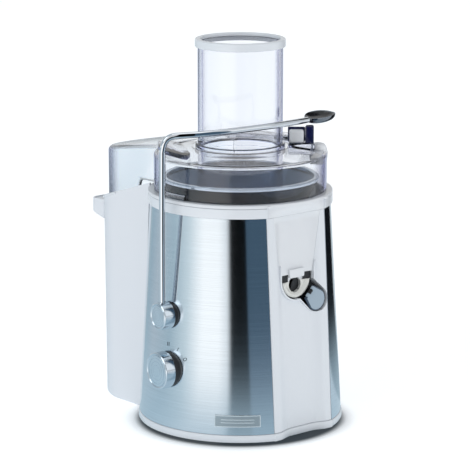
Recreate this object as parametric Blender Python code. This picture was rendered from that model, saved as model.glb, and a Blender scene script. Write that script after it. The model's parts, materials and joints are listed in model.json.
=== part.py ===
"""Centrifugal juicer, modelled as an assembly of separate pieces.

Everything is built around the body's vertical axis, in metres, +Z up. The spout looks along -Y, the
pulp container stands on +Y and the two knobs are on the -X side. At the end one empty carries the
whole assembly sideways, so that the origin is at the middle of the footprint, on the table.
"""
import math

import bmesh
import bpy
from mathutils import Matrix, Quaternion, Vector

MM = 0.001
GAP = 0.3 * MM                      # air left between two pieces that touch
WELD = 0.005 * MM                   # points closer than this are one point

# --- driving dimensions -------------------------------------------------------------------------
FOOT_H = 2.7 * MM
BASE_R, BASE_Z0, BASE_Z1 = 101.0 * MM, 3.0 * MM, 10.5 * MM
BASE_BORE_R = 84.0 * MM
SHELL_R0, SHELL_R1 = 100.1 * MM, 88.6 * MM     # steel band, bottom and top radius
SHELL_Z0, SHELL_Z1 = 10.8 * MM, 219.7 * MM
SHELL_T = 1.0 * MM
RING_R, RING_Z0, RING_Z1 = 90.3 * MM, 220.0 * MM, 229.5 * MM
PANEL_HALF = 37.2 * MM
PANEL_T = 3.0 * MM
PANEL_PROUD = 1.0 * MM
PANEL_DISH = 4.5 * MM               # how deep the front panel's hollow face is
HOUSING_FLOOR_Z = 176.0 * MM
HOUSING_R0, HOUSING_R1 = 85.0 * MM, 86.9 * MM
COLLECTOR_R = 84.5 * MM
COLLECTOR_FLOOR_Z = 183.0 * MM
FLANGE_Z0, FLANGE_Z1 = 229.8 * MM, 233.0 * MM
APRON_TOP_HALF, APRON_LOW_HALF = 31.0 * MM, 20.5 * MM
APRON_Z0, APRON_Z1 = 161.0 * MM, 225.0 * MM
SPOUT_Z = 156.0 * MM
SPOUT_R, SPOUT_BORE_R = 17.5 * MM, 8.5 * MM
POCKET_R = 20.9 * MM
POCKET_BACK_Y = -66.0 * MM
FLAP_R, FLAP_HINGE, FLAP_TIP = 10.6 * MM, 20.2 * MM, 33.0 * MM
POCKET_ROOM = 1.2 * MM              # air between the flap's edge and its pocket
FLAP_Y0, FLAP_Y1, FLAP_HINGE_Y = -85.5 * MM, -82.5 * MM, -86.0 * MM
LID_R, LID_WALL = 84.4 * MM, 2.4 * MM
LID_Z0, LID_SHOULDER_Z, LID_TOP_Z = 233.3 * MM, 268.0 * MM, 275.0 * MM
LUG_TOP_Z, LUG_ANGLE = 293.0 * MM, math.radians(-43.5)
TUBE_R, TUBE_BORE_R = 41.4 * MM, 38.0 * MM
TUBE_Z0, TUBE_Z1 = 201.0 * MM, 377.0 * MM
COLLAR_R, FEED_RING_R = 44.0 * MM, 44.0 * MM
FEED_RING_Z0, FEED_RING_Z1 = 372.5 * MM, 380.5 * MM
CHUTE_HALF, CHUTE_END_Y = 50.5 * MM, 125.5 * MM
CHUTE_SINK = 12.0 * MM              # how far the chute's skirt reaches down into the container
BIN_HALF, BIN_TAPER, BIN_WALL = 56.0 * MM, 1.5 * MM, 2.2 * MM
BIN_END_Y, BIN_FRONT_R = 125.0 * MM, 103.0 * MM
BIN_Z0 = 0.8 * MM
BIN_RIM_Z, BIN_RIM_Y, BIN_RIM_SLOPE = 231.7 * MM, 81.0 * MM, -0.31
BIN_INNER_WALL_Z = 186.5 * MM
SIDE_TILT = math.radians(6.0)       # the knobs' axes point slightly to the rear
ARM_FACE = Vector((-107.5, -1.5, 121.0)) * MM
ARM_KNOB_R, ARM_KNOB_D = 13.3 * MM, 12.2 * MM
SEL_FACE = Vector((-110.0, -2.2, 67.5)) * MM
SEL_KNOB_R, SEL_KNOB_D = 18.0 * MM, 11.0 * MM
ROD_R = 3.0 * MM
PADDLE_LONG, PADDLE_WIDE = 19.0 * MM, 10.5 * MM     # half length and half width of the thumb paddle
ARM_SHAFT_R, SEL_SHAFT_R = 4.0 * MM, 3.0 * MM
CAM_RISE, CAM_R = 3.0 * MM, 10.0 * MM
SHAFT_R = 4.7 * MM
STATOR_Z0, STATOR_Z1 = 98.0 * MM, 138.0 * MM
STATOR_R, STATOR_BORE_R, ARMATURE_R = 42.0 * MM, 23.5 * MM, 22.8 * MM
BRACKET_R, BRACKET_T = 50.0 * MM, 4.0 * MM
UPPER_BRACKET_Z, LOWER_BRACKET_Z = 158.0 * MM, 68.0 * MM
BOLT_RADIUS, BOLT_R = 46.0 * MM, 2.0 * MM
BASKET_R0, BASKET_R1, BASKET_Z0, BASKET_Z1 = 47.0 * MM, 75.0 * MM, 194.0 * MM, 243.0 * MM
DISC_R = 44.0 * MM
FOOT_CIRCLE_R, FOOT_R = 70.0 * MM, 9.0 * MM
GLAND_ANGLE, GLAND_Z = math.radians(20.0), 26.0 * MM
FOOTPRINT_CENTRE = Vector((-5.42, 53.53, 0.0)) * MM   # middle of the footprint, from the body's axis

SIDE_AXIS = Vector((-math.cos(SIDE_TILT), math.sin(SIDE_TILT), 0.0))
UP = Vector((0.0, 0.0, 1.0))
FRONT = Vector((0.0, -1.0, 0.0))
FLAP_DIR = Vector((1.0, 0.0, -1.0)).normalized()
SPOUT = Vector((0.0, 0.0, SPOUT_Z))

COLOURS = {                          # base colour, metallic, roughness
    "white_shell": ((0.80, 0.83, 0.87), 0.0, 0.28),
    "brushed_band": ((0.56, 0.62, 0.68), 1.0, 0.32),
    "clear_plastic": ((0.86, 0.90, 0.96), 0.0, 0.06),
    "polished_steel": ((0.72, 0.74, 0.77), 1.0, 0.08),
    "spun_steel": ((0.66, 0.70, 0.75), 1.0, 0.28),
    "grey_plastic": ((0.42, 0.50, 0.58), 0.0, 0.35),
    "dark_plastic": ((0.03, 0.03, 0.035), 0.0, 0.45),
    "rubber": ((0.02, 0.02, 0.02), 0.0, 0.8),
    "lamination": ((0.18, 0.18, 0.19), 0.9, 0.5),
    "copper": ((0.62, 0.26, 0.12), 1.0, 0.35),
    "carbon": ((0.04, 0.04, 0.04), 0.2, 0.6),
    "plain_steel": ((0.50, 0.50, 0.52), 1.0, 0.35),
}


# --- tools --------------------------------------------------------------------------------------
def clear_scene():
    """Remove whatever the scene holds at the start."""
    for obj in list(bpy.data.objects):
        bpy.data.objects.remove(obj, do_unlink=True)


def material(slot):
    """Return the Principled material of a slot, made on first use."""
    found = bpy.data.materials.get(slot)
    if found:
        return found
    colour, metallic, roughness = COLOURS[slot]
    made = bpy.data.materials.new(slot)
    made.use_nodes = True
    shader = made.node_tree.nodes["Principled BSDF"]
    shader.inputs["Base Color"].default_value = (*colour, 1.0)
    shader.inputs["Metallic"].default_value = metallic
    shader.inputs["Roughness"].default_value = roughness
    return made


def finish_mesh(name, bm, slot):
    """Turn a bmesh into a named object with outward normals and smooth round faces."""
    bmesh.ops.remove_doubles(bm, verts=bm.verts, dist=1e-7)
    bmesh.ops.recalc_face_normals(bm, faces=bm.faces)
    mesh = bpy.data.meshes.new(name)
    bm.to_mesh(mesh)
    bm.free()
    obj = bpy.data.objects.new(name, mesh)
    bpy.context.scene.collection.objects.link(obj)
    dress(obj, slot)
    return obj


def dress(obj, slot):
    """Give an object its one material and smooth shading with sharp edges kept."""
    obj.data.materials.clear()
    obj.data.materials.append(material(slot))
    obj.data.shade_smooth()
    obj.data.set_sharp_from_angle(angle=math.radians(35.0))


def stand(obj, place, axis=UP):
    """Put an object's origin at a place and turn its own Z to an axis."""
    obj.rotation_mode = "QUATERNION"
    obj.rotation_quaternion = UP.rotation_difference(axis) if axis != UP else Quaternion()
    obj.location = place
    return obj


def lathe(name, slot, profile, segments=32):
    """Turn a closed outline of (radius, height) points about Z; points at radius 0 are poles."""
    bm = bmesh.new()
    rings = []
    for radius, height in profile:
        if radius < 1e-9:
            rings.append([bm.verts.new((0.0, 0.0, height))] * segments)
            continue
        turn = [2.0 * math.pi * k / segments for k in range(segments)]
        rings.append([bm.verts.new((radius * math.cos(a), radius * math.sin(a), height)) for a in turn])
    for lower, upper in zip(rings, rings[1:] + rings[:1]):
        for k in range(segments):
            n = (k + 1) % segments
            corners = [lower[k], lower[n], upper[n], upper[k]]
            unique = list(dict.fromkeys(corners))
            if len(unique) > 2:
                bm.faces.new(unique)
    return finish_mesh(name, bm, slot)


def rod(name, slot, radius, z0, z1, segments=20, chamfer=0.0):
    """A plain turned rod between two heights, its ends chamfered."""
    c = max(chamfer, 0.0)
    if c == 0.0:
        return lathe(name, slot, [(0.0, z0), (radius, z0), (radius, z1), (0.0, z1)], segments)
    profile = [(0.0, z0), (radius - c, z0), (radius, z0 + c), (radius, z1 - c), (radius - c, z1), (0.0, z1)]
    return lathe(name, slot, profile, segments)


def tube(name, slot, inner, outer, z0, z1, segments=32):
    """A plain turned sleeve."""
    return lathe(name, slot, [(inner, z0), (outer, z0), (outer, z1), (inner, z1)], segments)


def loft(name, slot, sections):
    """Skin equal-length closed loops of points and cap both ends."""
    bm = bmesh.new()
    loops = [[bm.verts.new(p) for p in section] for section in sections]
    count = len(loops[0])
    for a, b in zip(loops, loops[1:]):
        for k in range(count):
            n = (k + 1) % count
            bm.faces.new((a[k], a[n], b[n], b[k]))
    bm.faces.new(list(reversed(loops[0])))
    bm.faces.new(loops[-1])
    bmesh.ops.triangulate(bm, faces=[f for f in bm.faces if len(f.verts) > 4])
    return finish_mesh(name, bm, slot)


def prism(name, slot, outline, z0, z1):
    """Extrude a plan outline of (x, y) points between two heights."""
    return loft(name, slot, [[(x, y, z) for x, y in outline] for z in (z0, z1)])


def prism_y(name, slot, outline, y_front, y_back):
    """Extrude an upright outline of (x, z) points along Y; y_front may be a function of x and z."""
    front = y_front if callable(y_front) else (lambda x, z: y_front)
    sections = [[(x, front(x, z), z) for x, z in outline], [(x, y_back, z) for x, z in outline]]
    return loft(name, slot, sections)


def block(name, slot, low, high):
    """An axis-aligned block from its lowest to its highest corner."""
    outline = [(low[0], low[1]), (high[0], low[1]), (high[0], high[1]), (low[0], high[1])]
    return prism(name, slot, outline, low[2], high[2])


def sweep(name, slot, path, radius, sides=10, closed=False):
    """Carry a round section along a path of points."""
    bm = bmesh.new()
    count = len(path)
    loops = []
    normal = None
    for k, point in enumerate(path):
        before = path[(k - 1) % count] if closed or k else point
        after = path[(k + 1) % count] if closed or k < count - 1 else point
        along = (after - before).normalized()
        if normal is None:
            normal = along.orthogonal().normalized()
        normal = (normal - along * normal.dot(along)).normalized()
        side = along.cross(normal)
        turn = [2.0 * math.pi * s / sides for s in range(sides)]
        ring = [point + (normal * math.cos(a) + side * math.sin(a)) * radius for a in turn]
        loops.append([bm.verts.new(p) for p in ring])
    pairs = list(zip(loops, loops[1:]))
    if closed:
        pairs.append((loops[-1], best_turn(loops[0], loops[-1])))
    else:
        bm.faces.new(list(reversed(loops[0])))
        bm.faces.new(loops[-1])
    for a, b in pairs:
        for s in range(sides):
            n = (s + 1) % sides
            bm.faces.new((a[s], a[n], b[n], b[s]))
    return finish_mesh(name, bm, slot)


def best_turn(loop, target):
    """Turn a loop's numbering so that it lies closest to another loop."""
    count = len(loop)

    def distance(shift):
        return sum((loop[(k + shift) % count].co - v.co).length for k, v in enumerate(target))

    best = min(range(count), key=distance)
    return [loop[(k + best) % count] for k in range(count)]


def smooth_path(points, steps):
    """Read a smooth curve through hand-set points."""
    padded = [points[0] * 2 - points[1]] + points + [points[-1] * 2 - points[-2]]
    out = []
    for k in range(1, len(padded) - 2):
        p0, p1, p2, p3 = padded[k - 1:k + 3]
        for s in range(steps):
            t = s / steps
            a = 2 * p1 + (p2 - p0) * t + (2 * p0 - 5 * p1 + 4 * p2 - p3) * t * t
            out.append((a + (3 * p1 - p0 - 3 * p2 + p3) * t ** 3) * 0.5)
    out.append(points[-1].copy())
    return out


def weld(mesh):
    """Close up the hair-thin edges that a Boolean can leave."""
    bm = bmesh.new()
    bm.from_mesh(mesh)
    bmesh.ops.remove_doubles(bm, verts=bm.verts, dist=WELD)
    bmesh.ops.dissolve_degenerate(bm, dist=WELD, edges=bm.edges)
    bm.to_mesh(mesh)
    bm.free()


def boolean(obj, tool, operation):
    """Apply one exact Boolean to an object and throw the tool away."""
    step = obj.modifiers.new("shape", "BOOLEAN")
    step.operation = operation
    step.solver = "EXACT"
    step.object = tool
    bpy.context.view_layer.update()
    evaluated = obj.evaluated_get(bpy.context.evaluated_depsgraph_get())
    mesh = bpy.data.meshes.new_from_object(evaluated)
    weld(mesh)
    obj.modifiers.clear()
    slot = obj.data.materials[0].name
    obj.data = mesh
    mesh.name = obj.name
    bpy.data.objects.remove(tool, do_unlink=True)
    dress(obj, slot)
    return obj


def cut(obj, *tools):
    """Cut pieces out of an object."""
    for tool in tools:
        boolean(obj, tool, "DIFFERENCE")
    return obj


def join(obj, *tools):
    """Melt further shapes into an object."""
    for tool in tools:
        boolean(obj, tool, "UNION")
    return obj


def arc(cx, cy, radius, start, end, count):
    """Points on an arc, from one angle to another in degrees, both ends included."""
    angles = [math.radians(start + (end - start) * k / (count - 1)) for k in range(count)]
    return [(cx + radius * math.cos(a), cy + radius * math.sin(a)) for a in angles]


def hinge(name, place, children):
    """An empty on a joint's axis that carries the pieces which move together."""
    empty = bpy.data.objects.new(name, None)
    bpy.context.scene.collection.objects.link(empty)
    empty.location = place
    bpy.context.view_layer.update()
    for child in children:
        child.parent = empty
        child.matrix_parent_inverse = empty.matrix_world.inverted()
    return empty


# --- shapes that several pieces share -----------------------------------------------------------
def shell_radius(z):
    """Outer radius of the tapering steel band at a height."""
    t = (z - SHELL_Z0) / (SHELL_Z1 - SHELL_Z0)
    return SHELL_R0 + (SHELL_R1 - SHELL_R0) * t


def face_y(x, z):
    """The front panel's face: hollow below, rounding out to the collector's flange at the top."""
    radius = shell_radius(z)
    round_y = math.sqrt(max(radius * radius - x * x, 0.0))
    chord = math.sqrt(radius * radius - PANEL_HALF ** 2) + PANEL_PROUD
    hollow = chord - PANEL_DISH * (1.0 - min(1.0, (x / PANEL_HALF) ** 2))
    t = min(1.0, max(0.0, (229.0 * MM - z) / (17.0 * MM)))
    t = t * t * (3.0 - 2.0 * t)
    return -(round_y * (1.0 - t) + hollow * t)


def apron_half(z):
    """Half the apron's width at a height."""
    t = (z - APRON_Z0) / (APRON_Z1 - APRON_Z0)
    return APRON_LOW_HALF + (APRON_TOP_HALF - APRON_LOW_HALF) * t


def rim_z(y):
    """Height of the pulp container's sloping rim."""
    return BIN_RIM_Z + BIN_RIM_SLOPE * (y - BIN_RIM_Y)


def face_sheet(name, slot, half, heights, front, back, columns=9):
    """A sheet that follows the panel's face; half, front and back are functions."""
    sections = []
    for z in heights:
        xs = [half(z) * (2.0 * k / (columns - 1) - 1.0) for k in range(columns)]
        row = [(x, front(x, z), z) for x in xs] + [(x, back(x, z), z) for x in reversed(xs)]
        sections.append(row)
    return loft(name, slot, sections)


def bin_outline(inset, z, front_radius):
    """Plan of the pulp container at a height, drawn inwards by an inset."""
    half = BIN_HALF - BIN_TAPER * (1.0 - z / BIN_RIM_Z) - inset
    start = math.degrees(math.asin(half / front_radius))
    inner = [(front_radius * math.sin(math.radians(a)), front_radius * math.cos(math.radians(a)))
             for a in [-start + 2 * start * k / 8 for k in range(9)]]
    return inner + arc(0.0, BIN_END_Y, half, 0.0, 180.0, 17)


def stadium(centre, direction, length, radius, count=9):
    """Outline of a slot with round ends, in the X-Z plane."""
    angle = math.degrees(math.atan2(direction.z, direction.x))
    far = centre + direction * length
    return (arc(far.x, far.z, radius, angle - 90.0, angle + 90.0, count)
            + arc(centre.x, centre.z, radius, angle + 90.0, angle + 270.0, count))


def side_rod(name, slot, face, radius, start, end, segments=24, bore=0.0):
    """A turned piece on a knob's axis; start and end are depths measured in from the knob's face."""
    if bore:
        obj = tube(name, slot, bore, radius, -end, -start, segments)
    else:
        obj = rod(name, slot, radius, -end, -start, segments)
    return stand(obj, face, SIDE_AXIS)


# --- body ---------------------------------------------------------------------------------------
def make_base():
    """Base ring, bottom cover with vents, and four rubber feet."""
    front_x = [PANEL_HALF * (2.0 * k / 8 - 1.0) for k in range(9)]
    front = [(x, face_y(x, BASE_Z1) - PANEL_PROUD) for x in front_x]
    edge = math.degrees(math.asin((PANEL_HALF + 1.5 * MM) / BASE_R))
    outline = front + arc(0.0, 0.0, BASE_R, -90.0 + edge, 270.0 - edge, 49)
    base = prism("base_pan", "white_shell", outline, BASE_Z0, BASE_Z1)
    cut(base, rod("tool", "white_shell", BASE_BORE_R, 0.0, 20.0 * MM, 48))
    cover = rod("bottom_cover", "dark_plastic", BASE_BORE_R - GAP, BASE_Z0, BASE_Z0 + 2.5 * MM, 48)
    for k in range(6):
        angle = math.radians(60.0 * k + 30.0)
        slot = block("tool", "rubber", (22 * MM, -2.5 * MM, 0.0), (50 * MM, 2.5 * MM, 9 * MM))
        slot.rotation_euler = (0.0, 0.0, angle)
        cut(cover, slot)
    made = [base, cover]
    for k in range(4):
        foot = lathe(f"foot_{k + 1}", "rubber", [
            (0.0, 0.0), (FOOT_R - 1 * MM, 0.0), (FOOT_R, 1 * MM), (FOOT_R, FOOT_H), (0.0, FOOT_H)], 20)
        angle = math.radians(45.0 + 90.0 * k)
        foot.location = (FOOT_CIRCLE_R * math.cos(angle), FOOT_CIRCLE_R * math.sin(angle), 0.0)
        made.append(foot)
    return made


def make_shell():
    """The brushed band, open in front where the panel sits, with holes for the side controls."""
    gap_angle = [math.degrees(math.asin((PANEL_HALF + GAP) / (r - SHELL_T))) for r in (SHELL_R0, SHELL_R1)]
    sections = []
    for z, edge in zip((SHELL_Z0, SHELL_Z1), gap_angle):
        outer = arc(0.0, 0.0, shell_radius(z), -90.0 + edge, 270.0 - edge, 57)
        inner = arc(0.0, 0.0, shell_radius(z) - SHELL_T, -90.0 + edge, 270.0 - edge, 57)
        sections.append([(x, y, z) for x, y in outer + inner[::-1]])
    bm = bmesh.new()
    loops = [[bm.verts.new(p) for p in section] for section in sections]
    count = len(loops[0])
    for k in range(count):
        n = (k + 1) % count
        bm.faces.new((loops[0][k], loops[0][n], loops[1][n], loops[1][k]))
    for loop in loops:
        for k in range(count // 2 - 1):
            bm.faces.new((loop[k], loop[k + 1], loop[count - 2 - k], loop[count - 1 - k]))
    shell = finish_mesh("steel_shell", bm, "brushed_band")
    arm_hole = side_rod("tool", "rubber", ARM_FACE, 12.8 * MM, 5 * MM, 30 * MM)
    sel_hole = side_rod("tool", "rubber", SEL_FACE, 17.6 * MM, 5 * MM, 30 * MM)
    gland_hole = stand(rod("tool", "rubber", 6.3 * MM, 60 * MM, 120 * MM), (0, 0, GLAND_Z), gland_axis())
    return [cut(shell, arm_hole, sel_hole, gland_hole)]


def gland_axis():
    """Direction in which the cord's inlet faces."""
    return Vector((math.cos(GLAND_ANGLE), math.sin(GLAND_ANGLE), 0.0))


def make_panel():
    """The hollow-faced front panel with the pocket that the spout and its flap sit in."""
    heights = [SHELL_Z0, 60 * MM, 110 * MM, 161 * MM, 205 * MM, 212 * MM, SHELL_Z1]
    panel = face_sheet("front_panel", "white_shell", lambda z: PANEL_HALF, heights,
                       face_y, lambda x, z: face_y(x, z) + PANEL_T)
    top = 176.0 * MM
    wall = 1.5 * MM
    seat = Vector((0.0, 0.0, SPOUT_Z + 1 * MM))
    reach = FLAP_TIP + 1 * MM

    def pocket(radius, height):
        return [(radius, height)] + [(-radius, height)] + arc(0.0, seat.z, radius, 180.0, 360.0, 17)

    def mid(x, z):
        return face_y(x, z) + PANEL_T / 2

    join(panel, prism_y("tool", "rubber", pocket(POCKET_R + wall, top), mid, POCKET_BACK_Y + wall),
         prism_y("tool", "rubber", stadium(seat, FLAP_DIR, reach, FLAP_R + POCKET_ROOM + 1.0 * MM), mid,
                 POCKET_BACK_Y + wall))
    low_half, high_half = apron_half(APRON_Z0) + GAP, apron_half(240 * MM) + GAP
    low_z = APRON_Z0 - 1 * MM
    slot = [(-low_half, low_z), (low_half, low_z), (high_half, 240 * MM), (-high_half, 240 * MM)]
    cut(panel, prism_y("tool", "rubber", pocket(POCKET_R, top + 5 * MM), -120 * MM, POCKET_BACK_Y),
        prism_y("tool", "rubber", stadium(seat, FLAP_DIR, reach, FLAP_R + POCKET_ROOM), -120 * MM,
                POCKET_BACK_Y),
        prism_y("tool", "rubber", slot, -120 * MM, -70 * MM))
    return [panel]


def make_top():
    """White ring round the top of the body and the motor's ceiling below the collector."""
    ring = lathe("top_ring", "white_shell", [
        (HOUSING_R0 + 0.2 * MM, RING_Z0), (RING_R - 0.6 * MM, RING_Z0), (RING_R, RING_Z0 + 0.8 * MM),
        (RING_R, RING_Z1 - 0.6 * MM), (RING_R - 0.6 * MM, RING_Z1), (HOUSING_R0 + 0.2 * MM, RING_Z1)], 48)
    notch = block("tool", "rubber", (-37.6 * MM, -100 * MM, 200 * MM), (37.6 * MM, -60 * MM, 240 * MM))
    cut(ring, notch)
    housing = lathe("inner_housing", "dark_plastic", [
        (8.0 * MM, HOUSING_FLOOR_Z), (HOUSING_R1, HOUSING_FLOOR_Z), (HOUSING_R1, SHELL_Z1 - GAP),
        (HOUSING_R0, SHELL_Z1 - GAP), (HOUSING_R0, HOUSING_FLOOR_Z + 2.5 * MM),
        (8.0 * MM, HOUSING_FLOOR_Z + 2.5 * MM)], 36)
    front = block("tool", "rubber", (-46 * MM, -100 * MM, 170 * MM), (46 * MM, -61 * MM, 240 * MM))
    return [ring, cut(housing, front)]


def make_collector():
    """Bowl that catches the juice, with its front apron, its trough and the spout."""
    lip = COLLECTOR_R - 2 * MM
    bowl = lathe("juice_collector", "white_shell", [
        (RING_R, FLANGE_Z1), (RING_R, FLANGE_Z0), (COLLECTOR_R, FLANGE_Z0),
        (COLLECTOR_R, COLLECTOR_FLOOR_Z + 5 * MM), (COLLECTOR_R - 5 * MM, COLLECTOR_FLOOR_Z),
        (17 * MM, COLLECTOR_FLOOR_Z), (17 * MM, 190.8 * MM), (20 * MM, 190.8 * MM),
        (20 * MM, COLLECTOR_FLOOR_Z + 2.2 * MM), (lip - 5 * MM, COLLECTOR_FLOOR_Z + 2.2 * MM),
        (lip, COLLECTOR_FLOOR_Z + 7 * MM), (lip, FLANGE_Z1)], 48)

    plate_y = -75.5 * MM
    front_low, front_high = (-60 * MM, -110 * MM, 150 * MM), (60 * MM, plate_y + 1.3 * MM, 229.4 * MM)
    cut(bowl, block("tool", "rubber", front_low, front_high))
    plate = block("tool", "rubber", (-39 * MM, plate_y, 183.6 * MM), (39 * MM, plate_y + 3 * MM, 231.2 * MM))
    heights = [APRON_Z0, 205 * MM, 212 * MM, 220 * MM, 226 * MM, 230.5 * MM]
    apron = face_sheet("tool", "rubber", apron_half, heights, face_y, lambda x, z: plate_y + 1.6 * MM)
    trough = block("tool", "rubber", (-13 * MM, -79 * MM, 144 * MM), (13 * MM, -67 * MM, 184.6 * MM))
    spout = stand(rod("tool", "rubber", SPOUT_R, 68 * MM, 84.5 * MM, 32), SPOUT, FRONT)
    tab = block("tool", "rubber", (-9.5 * MM, -85.5 * MM, 152 * MM), (9.5 * MM, -80 * MM, 162.5 * MM))
    join(bowl, plate, apron, trough, spout)
    duct = block("tool", "rubber", (-10 * MM, -76 * MM, 149.5 * MM), (10 * MM, -70 * MM, 195 * MM))
    bore = stand(rod("tool", "rubber", SPOUT_BORE_R, 71 * MM, 95 * MM, 24), SPOUT - UP * 1.5 * MM, FRONT)
    cut(bowl, duct, bore)
    return [join(bowl, tab)]


def make_flap():
    """Drip-stop flap: it lies open in the pocket and folds over the spout's mouth."""
    near = SPOUT + FLAP_DIR * (FLAP_HINGE + 0.5 * MM)
    far = SPOUT + FLAP_DIR * FLAP_TIP
    across = Vector((1.0, 0.0, 1.0)).normalized()
    angle = math.degrees(math.atan2(FLAP_DIR.z, FLAP_DIR.x))
    a, b = near - across * 8 * MM, near + across * 8 * MM
    outline = [(b.x, b.z), (a.x, a.z)] + arc(far.x, far.z, FLAP_R, angle - 90.0, angle + 90.0, 13)
    flap = prism_y("drip_stop", "grey_plastic", outline, FLAP_Y0, FLAP_Y1)
    place = SPOUT + FLAP_DIR * FLAP_HINGE + FRONT * -FLAP_HINGE_Y
    barrel = stand(rod("tool", "grey_plastic", 1.8 * MM, -6 * MM, 6 * MM, 16), place, across)
    return [join(flap, barrel)]


# --- lid and container --------------------------------------------------------------------------
def chute_solid(inset):
    """The pulp chute as a solid, drawn inwards by an inset."""
    half = CHUTE_HALF - inset
    plan = [(-half, 60 * MM), (half, 60 * MM)] + arc(0.0, CHUTE_END_Y, half, 0.0, 180.0, 17)
    solid = prism("tool", "rubber", plan, 170 * MM, 300 * MM)
    drop = inset * 4
    sink = CHUTE_SINK + drop
    side = [(40 * MM, LID_Z0 - drop), (92 * MM + inset, LID_Z0 - drop),
            (97 * MM + inset, rim_z(97 * MM) - sink), (190 * MM, rim_z(190 * MM) - sink),
            (190 * MM, 254 * MM - inset), (130 * MM, 263 * MM - inset), (65 * MM, 273 * MM - inset),
            (40 * MM, 273 * MM - inset)]
    bm_sections = [[(x, y, z) for y, z in side] for x in (-80 * MM, 80 * MM)]
    return boolean(solid, loft("tool_b", "rubber", bm_sections), "INTERSECT")


def make_lid():
    """Clear lid with its drum and chute, the feed tube that stands in it, and the tube's ring."""
    drum = lathe("lid", "clear_plastic", [
        (0.0, LID_Z0), (LID_R, LID_Z0), (LID_R, LID_SHOULDER_Z - 2 * MM),
        (LID_R - 1.2 * MM, LID_SHOULDER_Z + 0.6 * MM), (LID_R - 4 * MM, LID_SHOULDER_Z + 2 * MM),
        (TUBE_R + 6 * MM, LID_TOP_Z), (0.0, LID_TOP_Z)], 48)
    inside = lathe("tool", "rubber", [
        (0.0, 200 * MM), (LID_R - LID_WALL, 200 * MM), (LID_R - LID_WALL, LID_SHOULDER_Z - 4 * MM),
        (LID_R - LID_WALL - 3 * MM, LID_SHOULDER_Z - 0.6 * MM), (TUBE_R + 6 * MM, LID_TOP_Z - LID_WALL),
        (0.0, LID_TOP_Z - LID_WALL)], 48)
    join(inside, chute_solid(LID_WALL))
    lug = block("tool_b", "rubber", (50 * MM, -6.5 * MM, 262 * MM), (66 * MM, 6.5 * MM, LUG_TOP_Z))
    lug.rotation_euler = (0.0, 0.0, LUG_ANGLE)
    join(drum, chute_solid(0.0))
    cut(drum, inside)
    join(drum, lug)
    cut(drum, rod("tool", "rubber", TUBE_R + GAP, 190 * MM, 390 * MM, 40))
    collar_z = LID_TOP_Z + GAP
    feed = lathe("feed_tube", "clear_plastic", [
        (TUBE_BORE_R, TUBE_Z0), (TUBE_R, TUBE_Z0), (TUBE_R, collar_z), (COLLAR_R, collar_z),
        (COLLAR_R, collar_z + 3 * MM), (TUBE_R, collar_z + 3 * MM), (TUBE_R, TUBE_Z1), (TUBE_BORE_R, TUBE_Z1)], 40)
    ring = lathe("feed_ring", "white_shell", [
        (TUBE_R + GAP, FEED_RING_Z0), (FEED_RING_R - 0.6 * MM, FEED_RING_Z0),
        (FEED_RING_R, FEED_RING_Z0 + 0.6 * MM), (FEED_RING_R, FEED_RING_Z1 - 1.2 * MM),
        (FEED_RING_R - 1.2 * MM, FEED_RING_Z1),
        (TUBE_BORE_R + 1.8 * MM, FEED_RING_Z1), (TUBE_BORE_R + 0.6 * MM, FEED_RING_Z1 - 1.2 * MM),
        (TUBE_BORE_R + 0.6 * MM, TUBE_Z1 + GAP), (TUBE_R + GAP, TUBE_Z1 + GAP)], 40)
    return [drum, feed, ring]


def make_bin():
    """Pulp container: hugs the body, slopes at the rim and has a hooked handle at the far end."""
    tall = 245 * MM
    back_r = BIN_FRONT_R + BIN_WALL
    outer = loft("pulp_container", "white_shell", [
        [(x, y, z) for x, y in bin_outline(0.0, z, BIN_FRONT_R)] for z in (BIN_Z0, tall)])
    plate_z = rim_z(BIN_END_Y + BIN_HALF) - 6 * MM
    end = BIN_END_Y + BIN_HALF
    half = 31 * MM
    tip, lip_half = end + 21 * MM, half - 8 * MM
    plan = [(-half, end - 25 * MM), (half, end - 25 * MM), (half, tip - 7 * MM), (lip_half, tip),
            (-lip_half, tip), (-half, tip - 7 * MM)]
    shelf = prism("tool", "rubber", plan, plate_z - 3 * MM, plate_z)
    lip = block("tool_b", "rubber", (-lip_half, tip - 3 * MM, plate_z - 12 * MM),
                (lip_half, tip, plate_z - 1 * MM))
    join(outer, shelf, lip)
    depths = (BIN_Z0 + BIN_WALL, tall + 5 * MM)
    rings = [[(x, y, z) for x, y in bin_outline(BIN_WALL, z, back_r)] for z in depths]
    inner = loft("tool", "rubber", rings)
    side = [(60 * MM, rim_z(60 * MM)), (260 * MM, rim_z(260 * MM)), (260 * MM, 300 * MM),
            (60 * MM, 300 * MM)]
    above = loft("tool_b", "rubber", [[(x, y, z) for y, z in side] for x in (-80 * MM, 80 * MM)])
    mouth = BIN_HALF - BIN_WALL - 2.2 * MM
    low_wall = block("tool_c", "rubber", (-mouth, 60 * MM, BIN_INNER_WALL_Z), (mouth, 112 * MM, 260 * MM))
    return [cut(outer, inner, above, low_wall)]


# --- side controls ------------------------------------------------------------------------------
def make_knob(name, face, radius, depth, shaft_radius):
    """A turned metal knob with a shallow rim chamfer and a blind hole for its shaft."""
    hole = shaft_radius + GAP
    knob = lathe(name, "spun_steel", [
        (0.0, 0.0), (radius - 0.8 * MM, 0.0), (radius, -0.8 * MM), (radius, -depth), (hole, -depth),
        (hole, -3.5 * MM), (0.0, -3.5 * MM)], 28)
    return stand(knob, face, SIDE_AXIS)


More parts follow.
